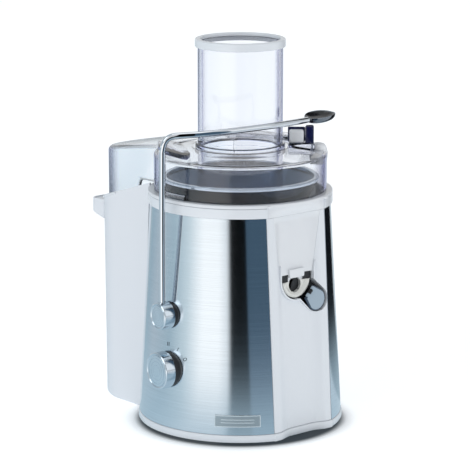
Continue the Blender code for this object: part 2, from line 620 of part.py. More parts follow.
def arm_path():
    """Centre line of the locking arm: up the side, a tight bend, then bowed across the lid."""
    start = ARM_FACE - SIDE_AXIS * (ARM_KNOB_D * 0.5) + UP * 7 * MM
    hand_set = [(-103.0, -4.5, 200.0), (-104.0, -6.5, 272.0), (-104.0, -7.2, 284.0), (-102.4, -9.4, 292.5),
                (-98.0, -13.5, 297.0), (-90.0, -20.6, 298.2), (-78.0, -29.5, 298.9), (-58.0, -37.5, 299.6),
                (-30.0, -45.0, 300.5), (0.0, -48.0, 300.8), (28.0, -46.5, 300.6), (50.0, -42.0, 300.0)]
    return smooth_path([start] + [Vector(p) * MM for p in hand_set], 2)


def make_arm():
    """Locking arm, its paddle, its knob, the shaft, the bushing and the safety cam."""
    path = arm_path()
    arm = sweep("locking_arm", "polished_steel", path, ROD_R, 8)
    along = (path[-1] - path[-2]).normalized()
    centre = path[-1] + along * (PADDLE_LONG + 1.0 * MM)
    turns = [2.0 * math.pi * k / 24 for k in range(24)]
    outline = [(PADDLE_LONG * math.cos(a), PADDLE_WIDE * math.sin(a)) for a in turns]
    levels = [(0.72, -3.2 * MM), (0.95, -1.8 * MM), (1.0, 0.6 * MM), (0.97, 2.6 * MM)]
    rings = [[(x * s, y * s, z) for x, y in outline] for s, z in levels]
    paddle = loft("arm_paddle", "polished_steel", rings)
    paddle.matrix_world = Matrix.Translation(centre) @ Matrix.Rotation(math.atan2(along.y, along.x), 4, "Z")
    knob = make_knob("arm_knob", ARM_FACE, ARM_KNOB_R, ARM_KNOB_D, ARM_SHAFT_R)
    way = (path[1] - path[0]).normalized()
    cut(knob, stand(rod("tool", "rubber", ROD_R + 0.4 * MM, -0.5 * MM, 20 * MM, 16), path[0], way))
    shaft = side_rod("arm_shaft", "plain_steel", ARM_FACE, ARM_SHAFT_R, 4 * MM, 44 * MM, 20)
    bushing = side_rod("arm_bushing", "dark_plastic", ARM_FACE, 12.4 * MM, ARM_KNOB_D + 0.5 * MM,
                       22 * MM, 32, ARM_SHAFT_R + GAP)
    outline = []
    for k in range(36):
        turn = 360.0 * k / 36
        lead = CAM_R if turn <= 40.0 else CAM_R - CAM_RISE * (turn - 40.0) / 220.0
        if turn > 260.0:
            lead = CAM_R - CAM_RISE * (360.0 - turn) / 100.0
        angle = math.radians(turn)
        outline.append((lead * math.cos(angle), lead * math.sin(angle)))
    cam = prism("interlock_cam", "dark_plastic", outline, -2.5 * MM, 2.5 * MM)
    cut(cam, rod("tool", "rubber", ARM_SHAFT_R + 0.2 * MM, -5 * MM, 5 * MM, 20))
    turn_axis = -SIDE_AXIS
    down = Vector((0.0, 0.0, -1.0))
    third = turn_axis.cross(down)
    basis = Matrix((down, third, turn_axis)).transposed().to_4x4()
    cam.matrix_world = Matrix.Translation(cam_centre()) @ basis
    return [arm, paddle, knob, shaft, cam], [bushing]


def cam_centre():
    """Middle of the safety cam, on the arm's axis inside the body."""
    return ARM_FACE - SIDE_AXIS * 33 * MM


def make_interlock():
    """Safety switch under the cam and the plunger that the cam presses down."""
    middle = cam_centre()
    top = middle.z - CAM_R - GAP
    plunger = lathe("interlock_plunger", "plain_steel", [
        (0.0, top - 22 * MM), (2.4 * MM, top - 22 * MM), (2.4 * MM, top - 1.2 * MM), (1.2 * MM, top),
        (0.0, top)], 16)
    plunger.location = (middle.x, middle.y, 0.0)
    low = Vector((middle.x - 7 * MM, middle.y - 10 * MM, top - 27 * MM))
    high = Vector((middle.x + 7 * MM, middle.y + 10 * MM, top - 8 * MM))
    switch = block("interlock_switch", "dark_plastic", low, high)
    well = rod("tool", "rubber", 2.8 * MM, top - 23.5 * MM, top, 16)
    well.location = (middle.x, middle.y, 0.0)
    return plunger, cut(switch, well)


def make_selector():
    """Speed selector: knob and shaft turn, bezel and rotary switch stay."""
    knob = make_knob("selector_knob", SEL_FACE, SEL_KNOB_R, SEL_KNOB_D, SEL_SHAFT_R)
    shaft = side_rod("selector_shaft", "plain_steel", SEL_FACE, SEL_SHAFT_R, 4 * MM, 30 * MM, 16)
    bezel = side_rod("selector_bezel", "dark_plastic", SEL_FACE, 17.2 * MM, SEL_KNOB_D + 0.5 * MM,
                     19 * MM, 32, SEL_SHAFT_R + GAP)
    half = 13 * MM
    switch = block("speed_switch", "dark_plastic", (-half, -half, -38 * MM), (half, half, -20 * MM))
    cut(switch, rod("tool", "rubber", SEL_SHAFT_R + GAP, -31 * MM, -10 * MM, 16))
    stand(switch, SEL_FACE, SIDE_AXIS)
    return [knob, shaft], [bezel, switch]


def make_badge():
    """Blank plate low on the band, between the panel and the knobs."""
    angle = math.radians(42.8)
    half_angle = 22.2 * MM / shell_radius(24.5 * MM)
    sections = []
    for z in (18.7 * MM, 30.3 * MM):
        inner, outer = shell_radius(z) + GAP, shell_radius(z) + 1.2 * MM
        turns = [angle + half_angle * (2.0 * k / 8 - 1.0) for k in range(9)]
        row = [(-outer * math.sin(a), -outer * math.cos(a), z) for a in turns]
        row += [(-inner * math.sin(a), -inner * math.cos(a), z) for a in reversed(turns)]
        sections.append(row)
    return [loft("badge_plate", "polished_steel", sections)]


# --- drive --------------------------------------------------------------------------------------
def make_rotor():
    """Everything that spins on the motor's shaft."""
    shaft = rod("motor_shaft", "plain_steel", SHAFT_R, 44 * MM, 186.6 * MM, 20, 0.5 * MM)
    teeth = 12
    outline = []
    for k in range(teeth):
        for share, radius in ((-0.36, ARMATURE_R), (0.36, ARMATURE_R), (0.44, 14 * MM), (0.56, 14 * MM)):
            a = 2.0 * math.pi * (k + share) / teeth
            outline.append((radius * math.cos(a), radius * math.sin(a)))
    armature = prism("armature", "lamination", outline, STATOR_Z0 + 1 * MM, STATOR_Z1 - 1 * MM)
    cut(armature, rod("tool", "rubber", SHAFT_R + GAP, 80 * MM, 150 * MM, 20))
    commutator = tube("commutator", "copper", SHAFT_R + GAP, 12 * MM, 75 * MM, 86 * MM, 24)
    fan = tube("cooling_fan", "dark_plastic", SHAFT_R + GAP, 36 * MM, 48 * MM, 49.6 * MM, 28)
    hub = tube("tool", "rubber", SHAFT_R + GAP, 9 * MM, 49 * MM, 62 * MM, 20)
    join(fan, hub)
    for k in range(7):
        blade = block("tool", "rubber", (8 * MM, -0.9 * MM, 49 * MM), (34.5 * MM, 0.9 * MM, 60 * MM))
        blade.rotation_euler = (0.0, 0.0, 2.0 * math.pi * k / 7)
        join(fan, blade)
    coupling = lathe("drive_coupling", "dark_plastic", [
        (0.0, 187 * MM), (SHAFT_R + GAP, 187 * MM), (SHAFT_R + GAP, 180.5 * MM), (12 * MM, 180.5 * MM),
        (12 * MM, 188.5 * MM), (9 * MM, 190 * MM), (9 * MM, 194 * MM), (0.0, 194 * MM)], 24)
    rise = Vector((BASKET_R1 - BASKET_R0, BASKET_Z1 - BASKET_Z0)).normalized()
    skin = 0.9 * MM
    out = Vector((rise.y, -rise.x)) * skin
    basket = lathe("filter_basket", "plain_steel", [
        (9.3 * MM, 191.4 * MM), (13 * MM, 191.4 * MM), (13 * MM, BASKET_Z0 - skin),
        (BASKET_R0 + out.x, BASKET_Z0 - skin), (BASKET_R1 + out.x, BASKET_Z1 + out.y),
        (BASKET_R1, BASKET_Z1), (BASKET_R0, BASKET_Z0), (9.3 * MM, BASKET_Z0 + 0.6 * MM)], 40)
    rim = tube("basket_rim", "plain_steel", BASKET_R1 - 3 * MM, BASKET_R1 + 2 * MM, BASKET_Z1 + GAP,
               BASKET_Z1 + 4 * MM, 40)
    disc = lathe("cutter_disc", "plain_steel", [
        (0.0, BASKET_Z0 + 1.5 * MM), (DISC_R, BASKET_Z0 + 1.5 * MM), (DISC_R, BASKET_Z0 + 3.7 * MM),
        (DISC_R - 0.7 * MM, BASKET_Z0 + 4.2 * MM), (0.0, BASKET_Z0 + 4.2 * MM)], 32)
    cap = lathe("disc_cap", "plain_steel", [
        (0.0, BASKET_Z0 + 4.5 * MM), (7 * MM, BASKET_Z0 + 4.5 * MM), (6.2 * MM, BASKET_Z0 + 6 * MM),
        (0.0, BASKET_Z0 + 7 * MM)], 20)
    return [shaft, armature, commutator, fan, coupling, basket, rim, disc, cap]


def make_motor():
    """The still half of the motor, its brackets, bearings, brushes and rubber mounts."""
    stator = tube("stator", "lamination", STATOR_BORE_R, STATOR_R, STATOR_Z0, STATOR_Z1, 28)
    coil_r, wire_r = 30.5 * MM, 3.6 * MM
    coils = []
    for side in (0, 1):
        lean = math.radians(28.0)
        start, end = math.pi * side + lean, math.pi * (side + 1) - lean
        low, high = STATOR_Z0 - 6.5 * MM, STATOR_Z1 + 6.5 * MM
        turns = [start + (end - start) * k / 8 for k in range(9)]
        lift = 4 * MM
        way = [(a, high) for a in turns] + [(end, high - lift), (end, low + lift)]
        way += [(a, low) for a in reversed(turns)] + [(start, low + lift), (start, high - lift)]
        path = [Vector((coil_r * math.cos(a), coil_r * math.sin(a), z)) for a, z in way]
        coils.append(sweep(f"field_coil_{side + 1}", "copper", path, wire_r, 6, closed=True))
        for angle in (start, end):
            hole = rod("tool", "rubber", wire_r + 1.2 * MM, STATOR_Z0 - 5 * MM, STATOR_Z1 + 5 * MM, 12)
            hole.location = (coil_r * math.cos(angle), coil_r * math.sin(angle), 0.0)
            cut(stator, hole)
    made = [stator] + coils
    for name, z in (("upper", UPPER_BRACKET_Z), ("lower", LOWER_BRACKET_Z)):
        bracket = tube(f"{name}_bracket", "plain_steel", 11.3 * MM, BRACKET_R, z, z + BRACKET_T, 24)
        for k in (0, 1):
            hole = rod("tool", "rubber", BOLT_R + GAP, z - 5 * MM, z + 10 * MM, 12)
            hole.location = (BOLT_RADIUS * (1 - 2 * k), 0.0, 0.0)
            cut(bracket, hole)
        bearing = tube(f"{name}_bearing", "plain_steel", SHAFT_R + GAP, 11 * MM, z - 1 * MM, z + 6 * MM, 20)
        made += [bracket, bearing]
    seat = UPPER_BRACKET_Z + BRACKET_T + GAP
    foot = LOWER_BRACKET_Z - 3 * MM
    for k in (0, 1):
        sign = 1 - 2 * k
        bolt = lathe(f"tie_bolt_{k + 1}", "plain_steel", [
            (0.0, foot), (BOLT_R, foot), (BOLT_R, seat), (3.6 * MM, seat), (3.6 * MM, seat + 3.2 * MM),
            (0.0, seat + 3.2 * MM)], 12)
        bolt.location = (BOLT_RADIUS * sign, 0.0, 0.0)
        holder = block(f"brush_holder_{k + 1}", "plain_steel", (-4.2 * MM, 14 * MM, 75.6 * MM),
                       (4.2 * MM, 34 * MM, 85.2 * MM))
        cut(holder, block("tool", "rubber", (-2.8 * MM, 10 * MM, 77 * MM), (2.8 * MM, 32 * MM, 83.8 * MM)))
        brush = block(f"carbon_brush_{k + 1}", "carbon", (-2.5 * MM, 12.4 * MM, 77.3 * MM),
                      (2.5 * MM, 27 * MM, 83.5 * MM))
        for piece in (holder, brush):
            piece.rotation_euler = (0.0, 0.0, math.pi * k)
        made += [bolt, holder, brush]
    for k in range(3):
        angle = math.radians(90.0 + 120.0 * k)
        damper = tube(f"damper_{k + 1}", "rubber", 2 * MM, 6.5 * MM, seat, HOUSING_FLOOR_Z - GAP, 16)
        damper.location = (40 * MM * math.cos(angle), 40 * MM * math.sin(angle), 0.0)
        made.append(damper)
    seal_low, seal_high = HOUSING_FLOOR_Z - 0.5 * MM, HOUSING_FLOOR_Z + 3 * MM
    made.append(tube("shaft_seal", "rubber", SHAFT_R + GAP, 7.7 * MM, seal_low, seal_high, 20))
    capacitor = rod("suppressor_capacitor", "grey_plastic", 8 * MM, 6 * MM, 34 * MM, 20, 1 * MM)
    capacitor.location = (52 * MM, 40 * MM, 0.0)
    gland = lathe("cord_gland", "dark_plastic", [
        (3.5 * MM, 92 * MM), (6 * MM, 92 * MM), (6 * MM, 100.2 * MM), (8.5 * MM, 100.2 * MM),
        (8 * MM, 102.5 * MM), (3.5 * MM, 102.5 * MM)], 20)
    stand(gland, (0, 0, GLAND_Z), gland_axis())
    return made + [capacitor, gland]


def main():
    """Build every piece, hang the moving ones on their axes and centre the footprint."""
    clear_scene()
    still = make_base() + make_shell() + make_panel() + make_top() + make_collector() + make_lid()
    still += make_badge() + make_motor()
    flap = make_flap()
    container = make_bin()
    arm, bushing = make_arm()
    plunger, switch = make_interlock()
    selector, selector_fixed = make_selector()
    rotor = make_rotor()
    still += bushing + [switch] + selector_fixed
    flap_place = SPOUT + FLAP_DIR * FLAP_HINGE + FRONT * -FLAP_HINGE_Y
    axes = [
        hinge("axis_arm", ARM_FACE, arm),
        hinge("axis_selector", SEL_FACE, selector),
        hinge("axis_rotor", Vector((0.0, 0.0, 0.0)), rotor),
        hinge("axis_flap", flap_place, flap),
        hinge("guide_container", Vector((0.0, BIN_END_Y, 0.0)), container),
        hinge("guide_plunger", cam_centre(), [plunger]),
    ]
    whole = hinge("footprint_centre", Vector((0.0, 0.0, 0.0)), still + axes)
    whole.location = -FOOTPRINT_CENTRE


main()
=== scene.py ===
"""Looks of the centrifugal juicer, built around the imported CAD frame.

Shapes are modelled in millimetres from the body's vertical axis and put into the row frame by lay().
"""

import json
import math

import bmesh
import bpy
from mathutils import Matrix, Vector


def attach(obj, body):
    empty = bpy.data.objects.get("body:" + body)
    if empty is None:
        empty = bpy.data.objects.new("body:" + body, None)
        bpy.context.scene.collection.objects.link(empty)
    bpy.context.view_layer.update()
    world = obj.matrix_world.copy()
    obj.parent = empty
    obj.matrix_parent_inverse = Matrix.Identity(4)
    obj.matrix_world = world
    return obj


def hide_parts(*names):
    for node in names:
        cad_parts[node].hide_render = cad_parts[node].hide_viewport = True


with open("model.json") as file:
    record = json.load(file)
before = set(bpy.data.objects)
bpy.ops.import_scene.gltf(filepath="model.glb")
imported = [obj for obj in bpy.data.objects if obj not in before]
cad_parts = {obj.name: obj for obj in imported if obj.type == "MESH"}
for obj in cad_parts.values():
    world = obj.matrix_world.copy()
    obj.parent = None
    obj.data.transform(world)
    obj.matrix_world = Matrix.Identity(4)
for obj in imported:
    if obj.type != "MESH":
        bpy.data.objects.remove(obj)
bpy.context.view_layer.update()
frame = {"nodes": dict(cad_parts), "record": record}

# --- dimensions, in millimetres ---------------------------------------------------------------------
AXIS_AT = Vector((5.42, -53.53, 0.0))       # the body's axis in the row frame
TO_FRAME = Matrix.Scale(0.001, 4) @ Matrix.Translation(AXIS_AT)
SHELL_R0, SHELL_R1, SHELL_Z0, SHELL_Z1, SHELL_T = 100.1, 88.6, 10.8, 219.7, 1.0
PANEL_HALF, PANEL_T, PANEL_PROUD, PANEL_DISH, MARGIN = 37.2, 3.0, 1.0, 4.5, 6.5
RING_R, RING_IN, RING_Z0, RING_Z1 = 90.3, 85.2, 220.0, 229.5
FLANGE_Z0, FLANGE_Z1 = 229.8, 233.0
APRON_TOP_HALF, APRON_LOW_HALF, APRON_Z0, APRON_Z1 = 31.0, 20.5, 161.0, 225.0
SPOUT_Z, SPOUT_R, SPOUT_BORE, BORE_Z = 156.0, 17.5, 7.8, 150.2
POCKET_R, POCKET_BACK = 20.9, -66.0
FLAP_R, FLAP_HINGE, FLAP_TIP = 11.2, 20.2, 33.0
LID_R, LID_WALL, LID_Z0, LID_SHOULDER, LID_TOP = 84.4, 2.4, 233.3, 269.4, 275.0
TUBE_R, TUBE_BORE, TUBE_Z0, TUBE_Z1 = 41.4, 38.0, 201.0, 377.0
CHUTE_HALF, CHUTE_END = 50.5, 125.5
BIN_HALF, BIN_TAPER, BIN_WALL, BIN_END, BIN_Z0 = 56.0, 1.5, 2.2, 125.0, 0.8
BIN_FRONT_R, BIN_LEAN = 103.2, 0.0525
TILT = math.radians(6.0)
SIDE_AXIS = Vector((-math.cos(TILT), math.sin(TILT), 0.0))
ARM_FACE, ARM_R, ARM_D = Vector((-107.5, -1.5, 121.0)), 13.3, 12.2
SEL_FACE, SEL_R, SEL_D = Vector((-110.0, -2.2, 67.5)), 18.0, 11.0
BASKET_R0, BASKET_R1, BASKET_Z0, BASKET_Z1 = 47.0, 75.0, 194.0, 243.0
UP = Vector((0.0, 0.0, 1.0))
COAT_ROUGHNESS, GRAIN_DEPTH, MOTTLE_SCALE, RIPPLE_SCALE, HOLES_SCALE = 0.06, 0.0003, 14.0, 22.0, 620.0
ACRYLIC_IOR = 1.49
FLAP_DIR = Vector((1.0, 0.0, -1.0)).normalized()
FLAP_ACROSS = Vector((1.0, 0.0, 1.0)).normalized()


# --- materials --------------------------------------------------------------------------------------
MATERIALS = {}                              # every material by its name, filled by shader_of()


def feed(tree, node, inputs):
    """Set a node's inputs: a value is stored on the socket, another node's output is linked to it."""
    for key, value in inputs.items():
        if isinstance(value, bpy.types.NodeSocket):
            tree.links.new(value, node.inputs[key])
        else:
            node.inputs[key].default_value = value


def add(tree, kind, inputs=None, **settings):
    node = tree.nodes.new("ShaderNode" + kind)
    for key, value in settings.items():
        setattr(node, key, value)
    feed(tree, node, inputs or {})
    return node


def ramp_of(tree, factor, stops):
    """The colour output of a ramp through (position, colour) stops."""
    node = add(tree, "ValToRGB", {"Fac": factor})
    elements = node.color_ramp.elements
    for element, (position, colour) in ((elements[0], stops[0]), (elements[1], stops[-1])):
        element.position, element.color = position, (*colour, 1.0)
    for position, colour in stops[1:-1]:
        elements.new(position).color = (*colour, 1.0)
    return node.outputs["Color"]


def shader_of(name):
    made = MATERIALS[name] = bpy.data.materials.new(name)
    made.use_nodes = True
    return made.node_tree, made.node_tree.nodes["Principled BSDF"]


def finish(name, colour, metallic=0.0, roughness=0.4, grain=0.0, grain_scale=900.0, stretch=(1.0, 1.0, 1.0),
           mottle=0.0, anisotropy=0.0, turn=0.0, coat=0.0, wear=0.0):
    """A finish with a fine bump, a slight change of tone and a slight change of gloss over the surface."""
    tree, shader = shader_of(name)
    feed(tree, shader, {"Base Color": (*colour, 1.0), "Metallic": metallic, "Roughness": roughness,
                        "Coat Weight": coat, "Coat Roughness": COAT_ROUGHNESS})
    where = add(tree, "TexCoord").outputs["Object"]
    spread = add(tree, "Mapping", {"Vector": where, "Scale": stretch}).outputs["Vector"]
    if grain:
        noise = add(tree, "TexNoise", {"Vector": spread, "Scale": grain_scale, "Detail": 4.0}).outputs["Fac"]
        bump = add(tree, "Bump", {"Strength": grain, "Distance": GRAIN_DEPTH, "Height": noise})
        feed(tree, shader, {"Normal": bump.outputs["Normal"]})
        if wear:
            gloss = add(tree, "MapRange", {"Value": noise, "To Min": max(roughness - wear, 0.02),
                                           "To Max": roughness + wear})
            feed(tree, shader, {"Roughness": gloss.outputs["Result"]})
    if mottle:
        cloud = add(tree, "TexNoise", {"Vector": spread, "Scale": MOTTLE_SCALE})
        dark, pale = [[min(1.0, c * share) for c in colour] for share in (1.0 - mottle, 1.0 + mottle)]
        feed(tree, shader, {"Base Color": ramp_of(tree, cloud.outputs["Fac"], ((0.0, dark), (1.0, pale)))})
    if anisotropy:
        tangent = add(tree, "Tangent", direction_type="RADIAL", axis="Z")
        feed(tree, shader, {"Anisotropic": anisotropy, "Anisotropic Rotation": turn,
                            "Tangent": tangent.outputs["Tangent"]})


def clear_finish(name, tint, edge_tint, thickness_tint, density, roughness, frosted=None, clear=1.0):
    """Clear moulded plastic: clear face on, blue where an upright wall turns away or the path in it is long.

    frosted is (where it starts along Y, where it is full, its roughness, its tint)."""
    tree, shader = shader_of(name)
    where = add(tree, "TexCoord").outputs["Object"]
    ripple = add(tree, "TexNoise", {"Vector": where, "Scale": RIPPLE_SCALE}).outputs["Fac"]
    bump = add(tree, "Bump", {"Strength": 0.03, "Distance": 0.001, "Height": ripple})
    facing = add(tree, "LayerWeight", {"Blend": 0.5}).outputs["Facing"]
    edge = add(tree, "MapRange", {"Value": facing, "From Min": 0.42, "From Max": 0.92},
               interpolation_type="SMOOTHSTEP")
    normal = add(tree, "SeparateXYZ", {"Vector": add(tree, "NewGeometry").outputs["Normal"]})
    lying = add(tree, "Math", {0: normal.outputs["Z"]}, operation="ABSOLUTE").outputs["Value"]
    upright = add(tree, "MapRange", {"Value": lying, "From Min": 0.95, "From Max": 0.5})
    share = add(tree, "Math", {0: edge.outputs["Result"], 1: upright.outputs["Result"]}, operation="MULTIPLY")
    face_tint, gloss = (*tint, 1.0), roughness
    if frosted:
        start, full, rough, far_tint = frosted
        along = add(tree, "SeparateXYZ", {"Vector": where}).outputs["Y"]
        reach = {"Value": along, "From Min": start, "From Max": full}
        gloss = add(tree, "MapRange", {**reach, "To Min": roughness, "To Max": rough}).outputs["Result"]
        frost = add(tree, "MapRange", reach).outputs["Result"]
        face_tint = ramp_of(tree, frost, ((0.0, tint), (1.0, far_tint)))
    blend = add(tree, "Mix", {"Factor": share.outputs["Value"], "A": face_tint, "B": (*edge_tint, 1.0)},
                data_type="RGBA")
    feed(tree, shader, {"Base Color": blend.outputs["Result"], "Roughness": gloss, "IOR": ACRYLIC_IOR,
                        "Transmission Weight": clear, "Normal": bump.outputs["Normal"]})
    haze = add(tree, "VolumeAbsorption", {"Color": (*thickness_tint, 1.0), "Density": density})
    tree.links.new(haze.outputs["Volume"], tree.nodes["Material Output"].inputs["Volume"])


def perforated(name):
    """Perforated sheet: rows of small dark holes on bright steel; the holes are only drawn, and their near
    black is painted shade for the dark seen through them.
    """
    tree, shader = shader_of(name)
    where = add(tree, "TexCoord").outputs["Object"]
    cells = add(tree, "TexVoronoi", {"Vector": where, "Scale": HOLES_SCALE, "Randomness": 0.35})
    holes = cells.outputs["Distance"]
    bump = add(tree, "Bump", {"Strength": 0.4, "Distance": 0.0004, "Height": holes})
    tones = ramp_of(tree, holes, ((0.20, (0.012, 0.016, 0.03)), (0.30, (0.13, 0.165, 0.23))))
    feed(tree, shader, {"Metallic": 1.0, "Roughness": 0.14, "Base Color": tones,
                        "Normal": bump.outputs["Normal"]})


BRUSH = (1.0, 1.0, 260.0)                   # noise drawn out round the body, fine up its height
finish("white_shell", (0.79, 0.82, 0.86), 0.0, 0.26, 0.02, 1400.0, mottle=0.01, coat=0.35)
finish("collector", (0.80, 0.82, 0.85), 0.0, 0.28, 0.02, 1400.0, mottle=0.01, coat=0.3)
finish("spout_cream", (0.80, 0.80, 0.76), 0.0, 0.3, 0.02, 1400.0, mottle=0.015, coat=0.3)
finish("container", (0.80, 0.82, 0.86), 0.0, 0.32, 0.03, 1200.0, mottle=0.012, coat=0.2)
finish("steel_band", (0.72, 0.78, 0.83), 1.0, 0.15, 0.018, 14.0, BRUSH, 0.16, 0.8, 0.25, wear=0.03)
clear_finish("clear_lid", (0.985, 0.99, 0.995), (0.03, 0.04, 0.24), (0.30, 0.36, 0.72), 14.0, 0.01,
             (0.018, 0.034, 0.16, (0.92, 0.96, 0.98)))
finish("frosted_lug", (0.93, 0.95, 0.98), 0.0, 0.24, 0.03, 500.0, mottle=0.02, coat=0.4)
clear_finish("deep_clear", (0.022, 0.028, 0.11), (0.008, 0.01, 0.05), (0.08, 0.10, 0.45), 140.0, 0.04,
             clear=0.5)
# Painted dark reflection: the thumb dish's top is near black, standing in for the black its polished steel
# mirrors.
finish("dish_painted_dark_reflection", (0.012, 0.013, 0.016), 0.0, 0.22, 0.02, 400.0, wear=0.03, coat=0.15)
# Darkened polished steel for the thumb dish: painted dark reflection for the dark surroundings it mirrors.
finish("dish_steel_painted_dark", (0.22, 0.24, 0.27), 1.0, 0.10, 0.02, 300.0, wear=0.03)
finish("chrome", (0.78, 0.81, 0.85), 1.0, 0.05, 0.02, 300.0, mottle=0.03, wear=0.02)
finish("badge", (0.36, 0.43, 0.47), 0.4, 0.34, 0.06, 60.0, (1.0, 1.0, 40.0), wear=0.08)
finish("badge_edge", (0.66, 0.74, 0.78), 0.35, 0.22, 0.02, 300.0, wear=0.02)
finish("knob_metal", (0.70, 0.77, 0.83), 1.0, 0.12, 0.02, 500.0, wear=0.03)
finish("knob_face", (0.72, 0.80, 0.86), 1.0, 0.34, 0.05, 700.0, mottle=0.02, wear=0.04)
# Near black: the flap's middle hinge knuckle, and painted shade on thin sheets set in gaps and hollows behind
# the knobs, in the spout's bore and side gaps and in the flap's pocket.
finish("black_part_and_painted_shade", (0.012, 0.013, 0.016), 0.0, 0.35, 0.03, 900.0, wear=0.05)
finish("dial_ink", (0.035, 0.045, 0.06), 0.0, 0.5, 0.03, 900.0, wear=0.05)
# Dark navy flap body, seen as a rim round its grey face: painted shade for the dark line along the flap's
# edges.
finish("flap_rim_painted_shade", (0.05, 0.075, 0.115), 0.0, 0.2, 0.02, 900.0, wear=0.03, coat=0.4)
finish("grey_plastic", (0.36, 0.45, 0.53), 0.0, 0.34, 0.04, 1200.0, mottle=0.02, coat=0.2)
finish("dark_plastic", (0.022, 0.023, 0.026), 0.0, 0.42, 0.12, 1100.0, wear=0.08)
finish("capacitor", (0.50, 0.47, 0.36), 0.0, 0.38, 0.06, 800.0, mottle=0.04)
finish("rubber", (0.016, 0.016, 0.017), 0.0, 0.72, 0.2, 900.0, wear=0.1)
finish("lamination", (0.20, 0.20, 0.21), 0.9, 0.45, 0.3, 12.0, (1.0, 1.0, 160.0), wear=0.12)
finish("copper", (0.60, 0.25, 0.11), 1.0, 0.3, 0.3, 260.0, (1.0, 1.0, 5.0), mottle=0.08)
finish("carbon", (0.035, 0.035, 0.037), 0.2, 0.6, 0.2, 900.0, wear=0.1)
finish("basket_steel", (0.52, 0.58, 0.66), 1.0, 0.10, 0.02, 500.0, wear=0.03)
perforated("mesh_steel")
finish("plain_steel", (0.50, 0.51, 0.53), 1.0, 0.3, 0.05, 600.0, mottle=0.05, wear=0.08)


# --- mesh tools -------------------------------------------------------------------------------------
def fillet(points, radius, steps=4, closed=True):
    """Round the corners of a polyline; radius is one number or one for each point."""
    radii = radius if isinstance(radius, (list, tuple)) else [radius] * len(points)
    out = []
    count = len(points)
    for k, p in enumerate(points):
        here = Vector(p)
        if (not closed and k in (0, count - 1)) or radii[k] <= 0.0:
            out.append(tuple(here))
            continue
        back, ahead = Vector(points[k - 1]) - here, Vector(points[(k + 1) % count]) - here
        angle = back.angle(ahead, math.pi)
        if angle > math.radians(178.0):
            out.append(tuple(here))
            continue
        run = min(radii[k] / math.tan(angle / 2.0), 0.48 * back.length, 0.48 * ahead.length)
        a, b = here + back.normalized() * run, here + ahead.normalized() * run
        for s in range(steps + 1):
            t = s / steps
            out.append(tuple(a * (1 - t) ** 2 + here * (2 * t * (1 - t)) + b * t * t))
    return out


def mesh_object(name, bm):
    bmesh.ops.remove_doubles(bm, verts=bm.verts, dist=1e-4)
    bmesh.ops.recalc_face_normals(bm, faces=bm.faces)
    mesh = bpy.data.meshes.new(name)
    bm.to_mesh(mesh)
    bm.free()
    obj = bpy.data.objects.new(name, mesh)
    bpy.context.scene.collection.objects.link(obj)
    return obj


def lathe(name, profile, segments=128, start=0.0, turn=360.0):
    """Turn a closed outline of (radius, height) points about Z, all round or by part of a turn in degrees."""
    bm = bmesh.new()
    whole = turn >= 360.0
    steps = segments if whole else segments + 1
    rings = []
    for radius, height in profile:
        if radius < 1e-6:
            rings.append([bm.verts.new((0.0, 0.0, height))] * steps)
            continue
        angles = [math.radians(start + turn * k / segments) for k in range(steps)]
        rings.append([bm.verts.new((radius * math.cos(a), radius * math.sin(a), height)) for a in angles])
    for lower, upper in zip(rings, rings[1:] + rings[:1]):
        for k in range(steps if whole else steps - 1):
            n = (k + 1) % steps
            unique = list(dict.fromkeys((lower[k], lower[n], upper[n], upper[k])))
            if len(unique) > 2:
                bm.faces.new(unique)
    if not whole:
        bm.faces.new([r[0] for r in reversed(rings)])
        bm.faces.new([r[-1] for r in rings])
    return mesh_object(name, bm)


def loft(name, sections, caps=True):
    """Skin closed loops with equal counts of points."""
    bm = bmesh.new()
    loops = [[bm.verts.new(p) for p in section] for section in sections]
    count = len(loops[0])
    for a, b in zip(loops, loops[1:]):
        for k in range(count):
            n = (k + 1) % count
            bm.faces.new((a[k], a[n], b[n], b[k]))
    if caps:
        bm.faces.new(list(reversed(loops[0])))
        bm.faces.new(loops[-1])
    return mesh_object(name, bm)


def prism(name, outline, z0, z1):
    return loft(name, [[(x, y, z) for x, y in outline] for z in (z0, z1)])


def prism_y(name, outline, y0, y1):
    return loft(name, [[(x, y, z) for x, z in outline] for y in (y0, y1)])


def block(name, low, high):
    return prism(name, [(low[0], low[1]), (high[0], low[1]), (high[0], high[1]), (low[0], high[1])],
                 low[2], high[2])


def sweep(name, path, radius, sides=24, closed=False):
    """Carry a round section along a path; radius may be one number or one for each point."""
    radii = radius if isinstance(radius, list) else [radius] * len(path)
    bm = bmesh.new()
    count, loops, normal = len(path), [], None
    for k, point in enumerate(path):
        before = path[(k - 1) % count] if closed or k else point
        after = path[(k + 1) % count] if closed or k < count - 1 else point
        along = (after - before).normalized()
        normal = along.orthogonal().normalized() if normal is None else normal
        normal = (normal - along * normal.dot(along)).normalized()
        side = along.cross(normal)
        ring = [point + (normal * math.cos(a) + side * math.sin(a)) * radii[k]
                for a in (2.0 * math.pi * s / sides for s in range(sides))]
        loops.append([bm.verts.new(p) for p in ring])
    pairs = list(zip(loops, loops[1:])) + ([(loops[-1], loops[0])] if closed else [])
    for a, b in pairs:
        for s in range(sides):
            n = (s + 1) % sides
            bm.faces.new((a[s], a[n], b[n], b[s]))
    if not closed:
        bm.faces.new(list(reversed(loops[0])))
        bm.faces.new(loops[-1])
    return mesh_object(name, bm)


def smooth_path(points, steps):
    padded = [points[0] * 2 - points[1]] + points + [points[-1] * 2 - points[-2]]
    out = []
    for k in range(1, len(padded) - 2):
        p0, p1, p2, p3 = padded[k - 1:k + 3]
        for s in range(steps):
            t = s / steps
            a = 2 * p1 + (p2 - p0) * t + (2 * p0 - 5 * p1 + 4 * p2 - p3) * t * t
            out.append((a + (3 * p1 - p0 - 3 * p2 + p3) * t ** 3) * 0.5)
    return out + [points[-1].copy()]


